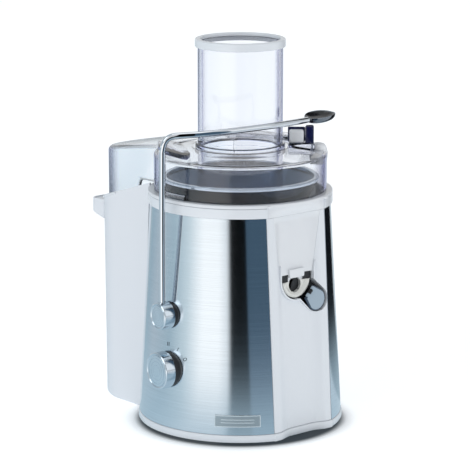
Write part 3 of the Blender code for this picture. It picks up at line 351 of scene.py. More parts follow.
def arc(cx, cy, radius, start, end, count):
    angles = [math.radians(start + (end - start) * k / (count - 1)) for k in range(count)]
    return [(cx + radius * math.cos(a), cy + radius * math.sin(a)) for a in angles]


def stadium(centre, direction, length, radius, count=25):
    angle = math.degrees(math.atan2(direction.z, direction.x))
    far = centre + direction * length
    return (arc(far.x, far.z, radius, angle - 90.0, angle + 90.0, count)
            + arc(centre.x, centre.z, radius, angle + 90.0, angle + 270.0, count))


def solve(obj, tool, operation):
    """Apply one Boolean and throw the tool away."""
    step = obj.modifiers.new("shape", "BOOLEAN")
    step.operation, step.solver, step.object = operation, "EXACT", tool
    bpy.context.view_layer.update()
    mesh = bpy.data.meshes.new_from_object(obj.evaluated_get(bpy.context.evaluated_depsgraph_get()))
    obj.modifiers.clear()
    obj.data = mesh
    bpy.data.objects.remove(tool, do_unlink=True)
    return obj


def cut(obj, *tools):
    for tool in tools:
        solve(obj, tool, "DIFFERENCE")
    return obj


def join(obj, *tools):
    for tool in tools:
        solve(obj, tool, "UNION")
    return obj


def place(obj, matrix):
    obj.data.transform(matrix)
    return obj


def on_axis(face):
    """Matrix that puts a shape turned about Z onto a side knob's axis, its top at the knob's face."""
    return Matrix.Translation(face) @ UP.rotation_difference(SIDE_AXIS).to_matrix().to_4x4()


def round_edges(obj, width, limit, segments):
    edge = obj.modifiers.new("edges", "BEVEL")
    edge.width, edge.segments, edge.limit_method = width, segments, "ANGLE"
    edge.angle_limit = math.radians(limit)


def lay(obj, material, body, stands_for=(), bevel=0.0, angle=32.0, limit=40.0, segments=3):
    """Put a finished shape into the row frame, give it its material and hang it on its body."""
    obj.data.transform(TO_FRAME)
    obj.data.materials.clear()
    obj.data.materials.append(MATERIALS[material])
    if bevel:
        round_edges(obj, bevel * 0.001, limit, segments)
    obj.data.shade_smooth()
    obj.data.set_sharp_from_angle(angle=math.radians(angle))
    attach(obj, body)
    if stands_for:
        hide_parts(*stands_for)
    return obj


# --- shared shapes ----------------------------------------------------------------------------------
def shell_radius(z):
    return SHELL_R0 + (SHELL_R1 - SHELL_R0) * (z - SHELL_Z0) / (SHELL_Z1 - SHELL_Z0)


def ease(t):
    t = min(1.0, max(0.0, t))
    return t * t * (3.0 - 2.0 * t)


def face_y(x, z):
    """The front panel's hollow face between two margins, rounding out to the flange at the top."""
    radius = shell_radius(z)
    round_y = math.sqrt(max(radius * radius - x * x, 0.0))
    chord = math.sqrt(radius * radius - PANEL_HALF ** 2) + PANEL_PROUD
    inner = PANEL_HALF - MARGIN
    share = 1.0 - min(1.0, abs(x) / inner) ** 2
    hollow = chord - PANEL_DISH * ease(share * 1.15)
    t = ease((229.0 - z) / 17.0)
    return -(round_y * (1.0 - t) + hollow * t)


def apron_half(z):
    return APRON_LOW_HALF + (APRON_TOP_HALF - APRON_LOW_HALF) * (z - APRON_Z0) / (APRON_Z1 - APRON_Z0)


def rim_z(y):
    return 231.7 - 0.31 * (y - 81.0)


def span(a, b, count):
    return [a + (b - a) * k / (count - 1) for k in range(count)]


def face_sheet(name, half, heights, front, back, columns=41):
    sections = []
    for z in heights:
        xs = span(-half(z), half(z), columns)
        sections.append([(x, front(x, z), z) for x in xs] + [(x, back(x, z), z) for x in reversed(xs)])
    return loft(name, sections)


def bin_outline(inset, z, count=65):
    front_radius = BIN_FRONT_R - BIN_LEAN * (z - BIN_Z0) + max(inset, 0.0)
    half = BIN_HALF - BIN_TAPER * (1.0 - z / 231.7) - inset
    start = math.degrees(math.asin(half / front_radius))
    inner = [(front_radius * math.sin(math.radians(a)), front_radius * math.cos(math.radians(a)))
             for a in span(-start, start, 33)]
    return inner + arc(0.0, BIN_END, half, 0.0, 180.0, count)


# --- body -------------------------------------------------------------------------------------------
def build_shell():
    edge = [math.degrees(math.asin((PANEL_HALF + 0.3) / (r - SHELL_T))) for r in (SHELL_R0, SHELL_R1)]
    sections = []
    for z, gap in zip((SHELL_Z0, SHELL_Z1), edge):
        outer = arc(0.0, 0.0, shell_radius(z), -90.0 + gap, 270.0 - gap, 241)
        inner = arc(0.0, 0.0, shell_radius(z) - SHELL_T, -90.0 + gap, 270.0 - gap, 241)
        sections.append([(x, y, z) for x, y in outer + inner[::-1]])
    bm = bmesh.new()
    loops = [[bm.verts.new(p) for p in section] for section in sections]
    count = len(loops[0])
    for k in range(count):
        n = (k + 1) % count
        bm.faces.new((loops[0][k], loops[0][n], loops[1][n], loops[1][k]))
    for loop in loops:
        for k in range(count // 2 - 1):
            bm.faces.new((loop[k], loop[k + 1], loop[count - 2 - k], loop[count - 1 - k]))
    shell = mesh_object("band", bm)
    lay(shell, "steel_band", "housing", ["steel_shell"])


def build_base():
    edge = math.degrees(math.asin((PANEL_HALF + 1.5) / 101.0))
    front = [(x, face_y(x, 11.0) - 1.0) for x in span(-PANEL_HALF, PANEL_HALF, 33)]
    outline = front + arc(0.0, 0.0, 101.0, -90.0 + edge, 270.0 - edge, 193)
    scaled = []
    for z, inset in ((3.0, 1.6), (3.4, 0.7), (4.6, 0.0), (9.4, 0.0), (10.2, 0.4), (10.5, 1.2)):
        scaled.append([(x * (1 - inset / 100.0), y * (1 - inset / 100.0), z) for x, y in outline])
    base = loft("base", scaled)
    cut(base, lathe("tool", [(0.0, 0.0), (84.0, 0.0), (84.0, 20.0), (0.0, 20.0)], 128))
    lay(base, "white_shell", "housing", ["base_pan"])


def build_panel():
    heights = [SHELL_Z0, SHELL_Z0 + 0.7] + span(20.0, 205.0, 38) + span(206.0, SHELL_Z1, 15)

    def front(x, z):
        soft = max(0.0, abs(x) - (PANEL_HALF - 1.6)) / 1.6
        low = 0.8 if z <= SHELL_Z0 else 0.0
        return face_y(x, z) + 1.3 * (1.0 - math.sqrt(max(0.0, 1.0 - soft * soft))) + low

    panel = face_sheet("front_face", lambda z: PANEL_HALF, heights, front,
                       lambda x, z: face_y(x, z) + PANEL_T, 63)
    seat = Vector((0.0, 0.0, SPOUT_Z + 1.0))
    reach = FLAP_TIP + 1.0

    def pocket(radius, height):
        return [(radius, height), (-radius, height)] + arc(0.0, seat.z, radius, 180.0, 360.0, 41)

    front_y = -85.5
    join(panel, prism_y("tool", pocket(POCKET_R + 1.5, 175.6), front_y + 1.4, POCKET_BACK + 1.5),
         prism_y("tool", stadium(seat, FLAP_DIR, reach, FLAP_R + 2.2), front_y + 1.4, POCKET_BACK + 1.5))
    low, high = apron_half(APRON_Z0) + 0.06, apron_half(240.0) + 0.06
    slot = [(-low, APRON_Z0 - 0.3), (low, APRON_Z0 - 0.3), (high, 240.0), (-high, 240.0)]
    cut(panel, prism_y("tool", pocket(POCKET_R, 181.0), -120.0, POCKET_BACK),
        prism_y("tool", stadium(seat, FLAP_DIR, reach, FLAP_R + 1.2), -120.0, POCKET_BACK),
        prism_y("tool", slot, -120.0, -70.0))
    lay(panel, "white_shell", "housing", ["front_panel"], bevel=0.5, limit=50.0)


def build_top():
    gap = math.degrees(math.asin(37.6 / RING_R))
    profile = fillet([(RING_IN, RING_Z0), (RING_R, RING_Z0), (RING_R, RING_Z1), (RING_IN, RING_Z1)],
                     [0.2, 1.0, 0.8, 0.2])
    ring = lathe("collar_ring", profile, 220, -90.0 + gap, 360.0 - 2 * gap)
    lay(ring, "white_shell", "housing", ["top_ring"])


def build_collector():
    profile = fillet([(RING_R, FLANGE_Z1), (RING_R, FLANGE_Z0), (84.5, FLANGE_Z0), (84.5, 188.0),
                      (79.5, 183.0), (17.0, 183.0), (17.0, 190.8), (20.0, 190.8), (20.0, 185.2),
                      (77.5, 185.2), (82.5, 190.0), (82.5, FLANGE_Z1)],
                     [1.2, 0.5, 0.2, 3.0, 3.0, 0.6, 1.0, 1.0, 2.0, 3.0, 3.0, 0.6])
    bowl = lathe("collector_bowl", profile, 160)
    plate_y = -75.5
    cut(bowl, block("tool", (-60.0, -110.0, 150.0), (60.0, plate_y + 1.3, 229.4)))
    join(bowl, block("tool", (-39.0, plate_y, 183.6), (39.0, plate_y + 3.0, 231.2)))
    lay(bowl, "collector", "housing", ["juice_collector"], angle=30.0)
    heights = [APRON_Z0] + span(APRON_Z0 + 0.6, 205.0, 14) + span(206.0, 219.7, 13)
    head = span(219.9, 231.0, 11)
    for name, rows, half in (("apron", heights, lambda z: apron_half(z) - 0.06),
                             ("apron_head", head, lambda z: 37.35)):
        sheet = face_sheet(name, half, rows, face_y, lambda x, z: plate_y + 1.6, 47)
        lay(sheet, "collector", "housing", bevel=0.25, limit=60.0, segments=2)
    shelf = block("collector_shelf", (-38.5, -84.0, 229.9), (38.5, plate_y + 0.5, 232.2))
    lay(shelf, "collector", "housing", bevel=0.4)
    trough = block("trough", (-13.0, -79.0, 144.0), (13.0, -67.0, 184.6))
    turn = UP.rotation_difference(Vector((0.0, -1.0, 0.0))).to_matrix().to_4x4()

    def bore():
        tool = lathe("tool", [(0.0, 60.0), (SPOUT_BORE, 60.0), (SPOUT_BORE, 90.0), (0.0, 90.0)], 64)
        return place(tool, Matrix.Translation(Vector((0.0, 0.0, BORE_Z))) @ turn)

    cut(trough, block("tool", (-10.0, -76.0, 149.5), (10.0, -70.0, 195.0)), bore())
    lay(trough, "collector", "housing", bevel=0.6)
    outline = [(0.0, 68.0), (SPOUT_R, 68.0), (SPOUT_R, 81.6), (SPOUT_R - 2.6, 82.6), (SPOUT_R - 5.6, 79.6),
               (0.0, 78.8)]
    ring = lathe("spout_ring", fillet(outline, [0.0, 0.5, 0.9, 1.2, 1.4, 0.0]), 96)
    place(ring, Matrix.Translation(Vector((0.0, 0.0, SPOUT_Z - 1.0))) @ turn)
    cut(ring, bore(), block("tool", (-30.0, -95.0, 153.8), (30.0, -60.0, 190.0)))
    lay(ring, "spout_cream", "housing", bevel=0.4, limit=50.0)
    tab = fillet([(-9.2, 157.6), (9.2, 157.6), (9.6, 166.0), (-9.6, 166.0)], [1.6, 1.6, 0.3, 0.3])
    cover = prism_y("spout_tab", tab, -82.9, -74.0)
    lay(cover, "collector", "housing", bevel=0.7)
    # Painted shade: a black disc deep in the spout's bore and black plates in the gaps either side of the tab
    # stand where there is only shade.
    bore_shade = lathe("spout_bore_painted_shade", [(0.0, 0.0), (SPOUT_BORE, 0.0), (SPOUT_BORE, 0.6), (0.0, 0.6)], 48)
    place(bore_shade, Matrix.Translation(Vector((0.0, -67.2, BORE_Z))) @ turn)
    lay(bore_shade, "black_part_and_painted_shade", "housing")
    for k, side in enumerate((-1.0, 1.0)):
        gap_shade = block(f"spout_gap_painted_shade_{k + 1}", (min(9.9 * side, 19.6 * side), -80.4, 153.9),
                       (max(9.9 * side, 19.6 * side), -79.4, 160.8))
        lay(gap_shade, "black_part_and_painted_shade", "housing")


def build_flap():
    near, far = FLAP_DIR * (FLAP_HINGE + 0.8), FLAP_DIR * FLAP_TIP
    origin = Vector((0.0, 0.0, SPOUT_Z))
    angle = math.degrees(math.atan2(FLAP_DIR.z, FLAP_DIR.x))
    a, b = origin + near - FLAP_ACROSS * 8.0, origin + near + FLAP_ACROSS * 8.0
    tip = origin + far
    outline = [(b.x, b.z), (a.x, a.z)] + arc(tip.x, tip.z, FLAP_R, angle - 90.0, angle + 90.0, 41)
    # The dark plate shows as a rim round the grey face: painted shade along the flap's edges.
    plate = prism_y("flap", outline, -85.5, -82.6)
    lay(plate, "flap_rim_painted_shade", "flap", ["drip_stop"], bevel=0.7)
    root = origin + FLAP_DIR * (FLAP_HINGE + 1.9)
    a, b = root - FLAP_ACROSS * 6.9, root + FLAP_ACROSS * 6.9
    rib_outline = [(b.x, b.z), (a.x, a.z)] + arc(tip.x, tip.z, FLAP_R - 1.2, angle - 90.0, angle + 90.0, 41)
    rib = prism_y("flap_field", rib_outline, -85.95, -85.4)
    lay(rib, "grey_plastic", "flap", bevel=0.25)
    # Painted shade: a black plate deep in the pocket behind the flap, where the pocket lies in shade.
    seat = stadium(origin + FLAP_DIR * 14.0, FLAP_DIR, FLAP_TIP - 13.0, FLAP_R + 1.1)
    pocket_shade = prism_y("flap_pocket_painted_shade", seat, POCKET_BACK - 10.4, POCKET_BACK - 9.9)
    lay(pocket_shade, "black_part_and_painted_shade", "housing")
    turn = UP.rotation_difference(FLAP_ACROSS).to_matrix().to_4x4()
    for k, (start, end, material) in enumerate(((-6.0, -2.6, "grey_plastic"), (-2.2, 2.2, "black_part_and_painted_shade"),
                                                (2.6, 6.0, "grey_plastic"))):
        barrel = lathe(f"flap_barrel_{k + 1}", fillet([(0.0, start), (1.8, start), (1.8, end), (0.0, end)],
                                                      [0.0, 0.4, 0.4, 0.0]), 40)
        place(barrel, Matrix.Translation(origin + FLAP_DIR * FLAP_HINGE + Vector((0.0, -86.0, 0.0))) @ turn)
        lay(barrel, material, "flap")


# --- lid and container ------------------------------------------------------------------------------
def chute_solid(inset):
    half = CHUTE_HALF - inset
    plan = [(-half, 60.0), (half, 60.0)] + arc(0.0, CHUTE_END, half, 0.0, 180.0, 65)
    solid = loft("tool", [[(x, y, z) for x, y in plan] for z in (170.0, 300.0)])
    drop = inset * 4
    side = [(40.0, LID_Z0 - drop), (92.0 + inset, LID_Z0 - drop), (97.0 + inset, rim_z(97.0) - 12.0 - drop),
            (190.0, rim_z(190.0) - 12.0 - drop), (190.0, 254.0 - inset), (130.0, 263.0 - inset),
            (65.0, 273.0 - inset), (40.0, 273.0 - inset)]
    return solve(solid, loft("tool_b", [[(x, y, z) for y, z in side] for x in (-80.0, 80.0)]), "INTERSECT")


def soften(obj, width, limit, segments=4):
    """Round a solid's sharp edges for good, before it is joined to others."""
    round_edges(obj, width, limit, segments)
    bpy.context.view_layer.update()
    mesh = bpy.data.meshes.new_from_object(obj.evaluated_get(bpy.context.evaluated_depsgraph_get()))
    obj.modifiers.clear()
    obj.data = mesh
    return obj


def build_lid():
    outer = [(0.0, LID_Z0), (LID_R, LID_Z0), (LID_R, LID_SHOULDER), (TUBE_R + 6.0, LID_TOP), (0.0, LID_TOP)]
    drum = lathe("lid_drum", fillet(outer, [0.0, 0.5, 3.6, 2.0, 0.0], 6), 160)
    inner = [(0.0, 200.0), (LID_R - LID_WALL, 200.0), (LID_R - LID_WALL, LID_SHOULDER - 2.0),
             (TUBE_R + 6.0, LID_TOP - LID_WALL), (0.0, LID_TOP - LID_WALL)]
    inside = lathe("tool", fillet(inner, [0.0, 0.0, 2.4, 1.5, 0.0], 6), 160)
    join(inside, soften(chute_solid(LID_WALL), 2.6, 50.0))
    pads = []
    for side in (-1.0, 1.0):
        plan = [(side * x, y) for x, y in (
            (38.0, 52.0), (41.0, 41.0), (54.0, 17.0), (68.0, -5.0), (80.0, -15.0),
            (81.5, -8.0), (78.0, 24.0), (66.0, 46.0), (50.0, 66.0), (40.0, 70.0))]
        plan = fillet(plan, [3.0, 4.0, 6.0, 6.0, 2.0, 3.0, 10.0, 10.0, 6.0, 3.0], 5)
        pads.append(soften(prism("tool", plan, 272.2, 276.6), 1.6, 50.0))
    collar = lathe("tool", fillet([(36.0, 268.0), (44.4, 268.0), (43.6, 278.4), (36.0, 278.4)],
                                  [0.0, 0.0, 1.2, 0.0], 5), 96)
    column = lathe("tool", [(0.0, TUBE_Z0), (TUBE_R, TUBE_Z0), (TUBE_R, TUBE_Z1), (0.0, TUBE_Z1)], 128)
    lug_turn = Matrix.Rotation(math.radians(-43.5), 4, "Z")
    lug_foot = soften(place(block("tool", (46.5, -8.0, 266.0), (72.5, 6.0, 278.6)), lug_turn), 2.2, 50.0)
    join(drum, soften(chute_solid(0.0), 5.0, 50.0))
    cut(drum, inside)
    join(drum, *pads, collar, column, lug_foot)
    cut(drum, lathe("tool", [(0.0, 190.0), (TUBE_BORE, 190.0), (TUBE_BORE, 390.0), (0.0, 390.0)], 128))
    lay(drum, "clear_lid", "housing", ["lid", "feed_tube"], angle=28.0)
    for name, low, high, width, material in (
            ("lid_lug", (47.6, -6.0, 278.8), (61.8, 0.6, 291.8), 2.0, "frosted_lug"),
            ("lid_lug_web", (46.2, 1.0, 278.8), (63.0, 3.6, 293.6), 1.0, "deep_clear"),
            ("lid_lug_post", (63.2, -5.0, 277.4), (71.6, 4.4, 295.4), 1.6, "deep_clear")):
        lug = soften(place(block(name, low, high), lug_turn), width, 50.0)
        lay(lug, material, "housing")
    knob = lathe("lid_bump", fillet([(0.0, 256.0), (8.0, 256.0), (9.6, 266.0), (7.0, 275.4), (0.0, 277.0)],
                                    [0.0, 1.0, 8.0, 6.0, 0.0], 8), 48)
    place(knob, Matrix.Translation(Vector((63.0, -44.0, 0.0))))
    lay(knob, "frosted_lug", "housing")
    for k, angle in enumerate((169.0, 349.0)):
        catch = fillet([(84.7, 233.5), (87.4, 233.5), (87.4, 237.6), (84.7, 238.4)], [0.2, 0.8, 1.2, 0.2])
        hook = lathe(f"lid_catch_{k + 1}", catch, 24, angle, 22.0)
        lay(hook, "clear_lid", "housing", bevel=0.5)
    mouth = fillet([(41.7, 372.5), (44.0, 372.5), (44.0, 380.5), (39.2, 380.5), (38.6, 379.0), (38.6, 377.3),
                    (41.7, 377.3)], [0.2, 0.9, 1.7, 1.0, 0.3, 0.2, 0.2], 6)
    lay(lathe("mouth_ring", mouth, 128), "white_shell", "housing", ["feed_ring"])


def build_bin():
    tall, end = 245.0, BIN_END + BIN_HALF
    levels = ((BIN_Z0, 3.2), (BIN_Z0 + 0.6, 1.5), (BIN_Z0 + 1.8, 0.5), (BIN_Z0 + 3.6, 0.0), (tall, 0.0))
    outer = loft("bin_wall", [[(x, y, z) for x, y in bin_outline(inset, z)] for z, inset in levels])
    plate_z = rim_z(end) - 2.0
    half, tip = 31.0, end + 21.0
    plan = fillet([(-half, end - 25.0), (half, end - 25.0), (half, tip - 1.0), (-half, tip - 1.0)],
                  [0.0, 0.0, 12.0, 12.0], 10)
    shelf = soften(prism("tool", plan, plate_z - 3.0, plate_z), 1.2, 50.0)
    inner_rings = [[(x, y, z) for x, y in bin_outline(BIN_WALL, z)]
                   for z in (BIN_Z0 + BIN_WALL, tall + 5.0)]
    side = [(60.0, rim_z(60.0)), (260.0, rim_z(260.0)), (260.0, 300.0), (60.0, 300.0)]
    above = loft("tool_b", [[(x, y, z) for y, z in side] for x in (-80.0, 80.0)])
    mouth = BIN_HALF - 2 * BIN_WALL
    low_wall = block("tool_c", (-mouth, 60.0, 186.5), (mouth, 112.0, 260.0))
    join(outer, shelf)
    cut(outer, loft("tool", inner_rings), above, low_wall)
    lay(outer, "container", "container", ["pulp_container"], bevel=0.6, limit=50.0)
    lip_outer = fillet([(half - 1.0, end - 4.0), (half - 1.0, tip - 2.0), (-half + 1.0, tip - 2.0),
                        (-half + 1.0, end - 4.0)], [0.0, 12.0, 12.0, 0.0], 12, closed=False)
    sections = []
    path = [Vector((x, y, 0.0)) for x, y in lip_outer]
    for k, point in enumerate(path):
        ahead = path[min(k + 1, len(path) - 1)] - path[max(k - 1, 0)]
        out = Vector((ahead.y, -ahead.x, 0.0)).normalized()
        drop = 20.5 - 5.0 * ease((point.y - end + 4.0) / 20.0)
        a, b = point + out * 1.0, point - out * 1.2
        sections.append([(a.x, a.y, plate_z - 1.0), (a.x, a.y, plate_z - drop), (b.x, b.y, plate_z - drop),
                         (b.x, b.y, plate_z - 1.0)])
    lay(loft("bin_grip", sections), "container", "container", bevel=0.8, limit=40.0)
    bead_path = []
    for x, y in bin_outline(-0.35, 231.7, 97):
        if y > 112.0:
            bead_path.append(Vector((x, y, rim_z(y) - 1.6)))
    bead = sweep("bin_bead", bead_path, 1.0, 12)
    lay(bead, "container", "container")


# --- side controls ----------------------------------------------------------------------------------
def build_knob(name, face, radius, depth, body, stands_for):
    skirt = fillet([(0.0, -3.5), (0.0, -0.9), (radius - 2.6, -0.9), (radius - 1.3, -0.02), (radius, -0.9),
                    (radius, -depth), (4.6, -depth), (4.6, -3.5)],
                   [0.0, 0.0, 0.3, 0.5, 0.5, 0.4, 0.0, 0.0])
    plate = fillet([(0.0, -0.88), (radius - 2.8, -0.88), (radius - 2.9, -0.5), (0.0, -0.35)],
                   [0.0, 0.0, 0.2, 0.0])
    shapes = [("", skirt, "knob_metal"), ("_face", plate, "knob_face")]
    for k in range(3):
        at = (radius - 3.4) * (0.38 + 0.24 * k)
        turned = [(at, -0.42), (at + 0.22, -0.42), (at + 0.22, -0.36), (at, -0.36)]
        shapes.append((f"_turned_{k + 1}", turned, "knob_metal"))
    # A thin black disc behind the knob: painted shade in the gap between knob and band.
    back = [(5.0, -depth - 0.3), (radius - 0.5, -depth - 0.3), (radius - 0.5, -depth), (5.0, -depth)]
    shapes.append(("_back", back, "black_part_and_painted_shade"))
    for suffix, outline, material in shapes:
        piece = place(lathe(name + suffix, outline, 96), on_axis(face))
        lay(piece, material, body, () if suffix else stands_for)


def arm_path(steps):
    start = ARM_FACE - SIDE_AXIS * (ARM_D * 0.5) + UP * 7.0
    hand_set = [(-103.0, -4.5, 200.0), (-104.0, -6.5, 272.0), (-104.0, -7.2, 284.0), (-102.4, -9.4, 292.5),
                (-98.0, -13.5, 297.0), (-90.0, -20.6, 298.2), (-78.0, -29.5, 298.9), (-58.0, -37.5, 299.6),
                (-30.0, -45.0, 300.5), (0.0, -48.0, 300.8), (28.0, -46.5, 300.6), (50.0, -42.0, 300.0)]
    return smooth_path([start] + [Vector(p) for p in hand_set], steps)


def build_arm():
    path = arm_path(10)
    along = (path[-1] - path[-2]).normalized()
    lay(sweep("arm_rod", path, 3.0, 32), "chrome", "arm", ["locking_arm"])
    long_half, wide_half = 20.5, 12.0
    centre = path[-1] + along * (long_half + 0.8)
    spin = Matrix.Translation(centre) @ Matrix.Rotation(math.atan2(along.y, along.x), 4, "Z")
    turns = span(0.0, 2.0 * math.pi, 65)[:-1]

    def oval(name, levels, material, stands_for, angle):
        rings = []
        for share, height in levels:
            ring = []
            for a in turns:
                x, y = long_half * math.cos(a), wide_half * math.sin(a)
                tilt = 2.2 * max(0.0, math.sin(a)) * share + 0.8 * math.cos(a) * share
                ring.append((x * share, y * share, height + tilt))
            rings.append(ring)
        shape = place(loft(name, rings), spin)
        lay(shape, material, "arm", stands_for, angle=angle)

    # The dish's steel is darkened, a painted dark reflection.
    oval("thumb_rest", ((0.30, -4.0), (0.62, -3.6), (0.86, -2.2), (0.97, -0.2), (1.0, 1.8), (0.985, 2.6),
                        (0.95, 2.7), (0.91, 2.0), (0.80, 0.2), (0.55, -1.4), (0.28, -1.9)),
         "dish_steel_painted_dark", ["arm_paddle"], 50.0)
    # painted dark reflection: the dish's top is near black
    oval("thumb_painted_reflection", ((0.30, -1.7), (0.55, -1.25), (0.80, 0.35), (0.90, 1.9), (0.885, 2.25), (0.78, 0.9),
                         (0.55, -0.7), (0.30, -1.2)), "dish_painted_dark_reflection", (), 60.0)


def build_dial():
    """Marks round the speed selector, laid on the band: two strokes, one stroke, a nought."""
    axis = SIDE_AXIS
    side = UP.cross(axis).normalized()

    def on_band(x, z):
        point = SEL_FACE + side * x + UP * z
        level = shell_radius(point.z) + 0.08
        flat = Vector((point.x, point.y, 0.0))
        reach = axis * -1.0
        b, c = flat.dot(reach), flat.length_squared - level * level
        far = -b - math.sqrt(max(b * b - c, 0.0))
        return point + reach * far

    def stroke(name, points, width):
        path = [on_band(*p) for p in points]
        obj = sweep(name, path, width, 8)
        lay(obj, "dial_ink", "housing")

    def spot(angle, radius, dx, dz):
        a = math.radians(angle)
        out, round_ = Vector((math.sin(a), math.cos(a))), Vector((math.cos(a), -math.sin(a)))
        p = out * (radius + dz) + round_ * dx
        return (p.x, p.y)

    for name, angle, offsets in (("mark_two", 0.0, (-1.0, 1.0)), ("mark_one", 30.0, (0.0,))):
        for k, dx in enumerate(offsets):
            stroke(f"{name}_{k + 1}", [spot(angle, 25.0, dx, dz) for dz in (-1.9, 0.0, 1.9)], 0.28)
    ring = [spot(58.0, 25.0, 1.3 * math.cos(t), 1.9 * math.sin(t)) for t in span(0.0, 2.0 * math.pi, 25)]
    stroke("mark_nought", ring, 0.28)


def build_badge():
    angle = math.radians(42.8)

    def strip(name, z0, z1, half, near, far, material, stands_for=()):
        sections = []
        for z in span(z0, z1, 3):
            turns = [angle + half / shell_radius(24.5) * t for t in span(-1.0, 1.0, 25)]
            outer, inner = shell_radius(z) + far, shell_radius(z) + near
            row = [(-outer * math.sin(a), -outer * math.cos(a), z) for a in turns]
            row += [(-inner * math.sin(a), -inner * math.cos(a), z) for a in reversed(turns)]
            sections.append(row)
        lay(loft(name, sections), material, "housing", stands_for, bevel=0.18, limit=50.0)

    strip("badge_field", 18.9, 30.1, 22.0, 0.3, 0.8, "badge", ["badge_plate"])
    for name, z0, z1 in (("badge_low", 18.7, 19.7), ("badge_high", 29.3, 30.3)):
        strip(name, z0, z1, 22.2, 0.3, 1.2, "badge_edge")
    for k, (z0, z1, half) in enumerate(((22.6, 23.5, 16.0), (25.5, 26.4, 16.0))):
        strip(f"badge_line_{k + 1}", z0, z1, half, 0.7, 1.1, "badge_edge")
    for k, sign in enumerate((-1.0, 1.0)):
        sections = []
        for z in span(18.8, 30.2, 3):
            row = []
            for far in (1.2, 0.3):
                r = shell_radius(z) + far
                turns = [angle + sign * s / shell_radius(24.5) for s in (21.2, 22.2)]
                pair = [(-r * math.sin(a), -r * math.cos(a), z) for a in turns]
                row += pair if far > 1.0 else pair[::-1]
            sections.append(row)
        lay(loft(f"badge_end_{k + 1}", sections), "badge_edge", "housing", bevel=0.18, limit=50.0)


# --- basket -----------------------------------------------------------------------------------------
def build_basket():
    wall = [(9.3, 191.4), (13.0, 191.4), (13.0, 193.1), (BASKET_R0 + 0.8, 193.1),
            (BASKET_R1 + 0.8, BASKET_Z1 - 0.4), (BASKET_R1, BASKET_Z1), (BASKET_R0, BASKET_Z0),
            (9.3, BASKET_Z0 + 0.6)]
    cone = lathe("basket_cone", fillet(wall, [0.0, 0.3, 0.3, 2.0, 0.0, 0.0, 2.0, 0.0]), 144)
    lay(cone, "mesh_steel", "rotor", ["filter_basket"])
    rim = fillet([(BASKET_R1 - 3.0, BASKET_Z1 + 0.3), (BASKET_R1 + 2.0, BASKET_Z1 + 0.3),
                  (BASKET_R1 + 2.0, BASKET_Z1 + 4.0), (BASKET_R1 - 3.0, BASKET_Z1 + 4.0)],
                 [0.3, 1.2, 1.6, 1.0], 6)
    lay(lathe("basket_edge", rim, 144), "basket_steel", "rotor", ["basket_rim"])
    disc = fillet([(0.0, BASKET_Z0 + 1.5), (44.0, BASKET_Z0 + 1.5), (44.0, BASKET_Z0 + 3.4),
                   (0.0, BASKET_Z0 + 3.4)], [0.0, 0.2, 0.4, 0.0])
    lay(lathe("grater", disc, 96), "basket_steel", "rotor", ["cutter_disc"])
    bm = bmesh.new()
    for ring, (radius, count) in enumerate(((14.0, 12), (20.0, 18), (26.0, 24), (32.0, 28), (38.0, 34))):
        for k in range(count):
            a = 2.0 * math.pi * (k + 0.5 * (ring % 2)) / count
            out, way = Vector((math.cos(a), math.sin(a), 0.0)), Vector((-math.sin(a), math.cos(a), 0.0))
            mid = out * radius + UP * (BASKET_Z0 + 3.3)
            low = [bm.verts.new(mid + out * (1.1 * p) + way * (1.4 * q))
                   for p, q in ((-1, -1), (1, -1), (1, 1), (-1, 1))]
            tip = [bm.verts.new(mid + out * (0.5 * p) + way * 1.3 + UP * 0.85) for p in (-1, 1)]
            bm.faces.new(low[::-1])
            bm.faces.new((low[3], low[2], tip[1], tip[0]))
            bm.faces.new((low[0], low[1], tip[1], tip[0]))
            bm.faces.new((low[0], tip[0], low[3]))
            bm.faces.new((low[1], low[2], tip[1]))
    lay(mesh_object("grater_teeth", bm), "basket_steel", "rotor")


# --- remaining CAD pieces ---------------------------------------------------------------------------
def dress_cad():
    """The sealed and plain pieces stay as they are and only get their finish."""
    wanted = {entry["node"]: entry["material_slot"] for entry in frame["record"]["subparts"]}
    for name, obj in frame["nodes"].items():
        slot = wanted.get(name)
        if slot is None or obj.hide_render:
            continue
        obj.data.materials.clear()
        obj.data.materials.append(MATERIALS[slot])


# --- stage ------------------------------------------------------------------------------------------
VIEW_AZIMUTH = -41.2
CAMERA_AT = Vector((-1.6074, -1.8879, 0.7182))
LOOK_AT = Vector((0.00152, -0.05012, 0.1856))
CARD_REACH, CARD_TOP = 0.68, 1.1
FOOT_REACH, FLOOR_GLOW, WORLD_STRENGTH = 0.097, 0.48, 0.66


def only_in_reflections(obj, casts_shadow):
    obj.visible_camera = obj.visible_diffuse = obj.visible_transmission = obj.visible_volume_scatter = False
    obj.visible_shadow = casts_shadow


def glowing(name):
    """A material that only gives light; its colour is set by the caller."""
    tree, shader = shader_of(name)
    feed(tree, shader, {"Base Color": (0.0, 0.0, 0.0, 1.0), "Roughness": 1.0, "Specular IOR Level": 0.0,
                        "Emission Strength": 1.0})
    return tree, shader


def card(name, start, end, colour):
    """A standing card that only polished surfaces see; start and end are degrees from the viewer's side."""
    bm = bmesh.new()
    rows = []
    for a in span(math.radians(VIEW_AZIMUTH + start), math.radians(VIEW_AZIMUTH + end), 13):
        x, y = AXIS_AT.x * 0.001 + CARD_REACH * math.sin(a), AXIS_AT.y * 0.001 - CARD_REACH * math.cos(a)
        rows.append([bm.verts.new((x, y, z)) for z in (0.002, CARD_TOP)])
    for a, b in zip(rows, rows[1:]):
        bm.faces.new((a[0], b[0], b[1], a[1]))
    sheet = mesh_object(name, bm)
    tree, shader = glowing(name)
    feed(tree, shader, {"Emission Color": (*colour, 1.0)})
    sheet.data.materials.append(MATERIALS[name])
    only_in_reflections(sheet, True)


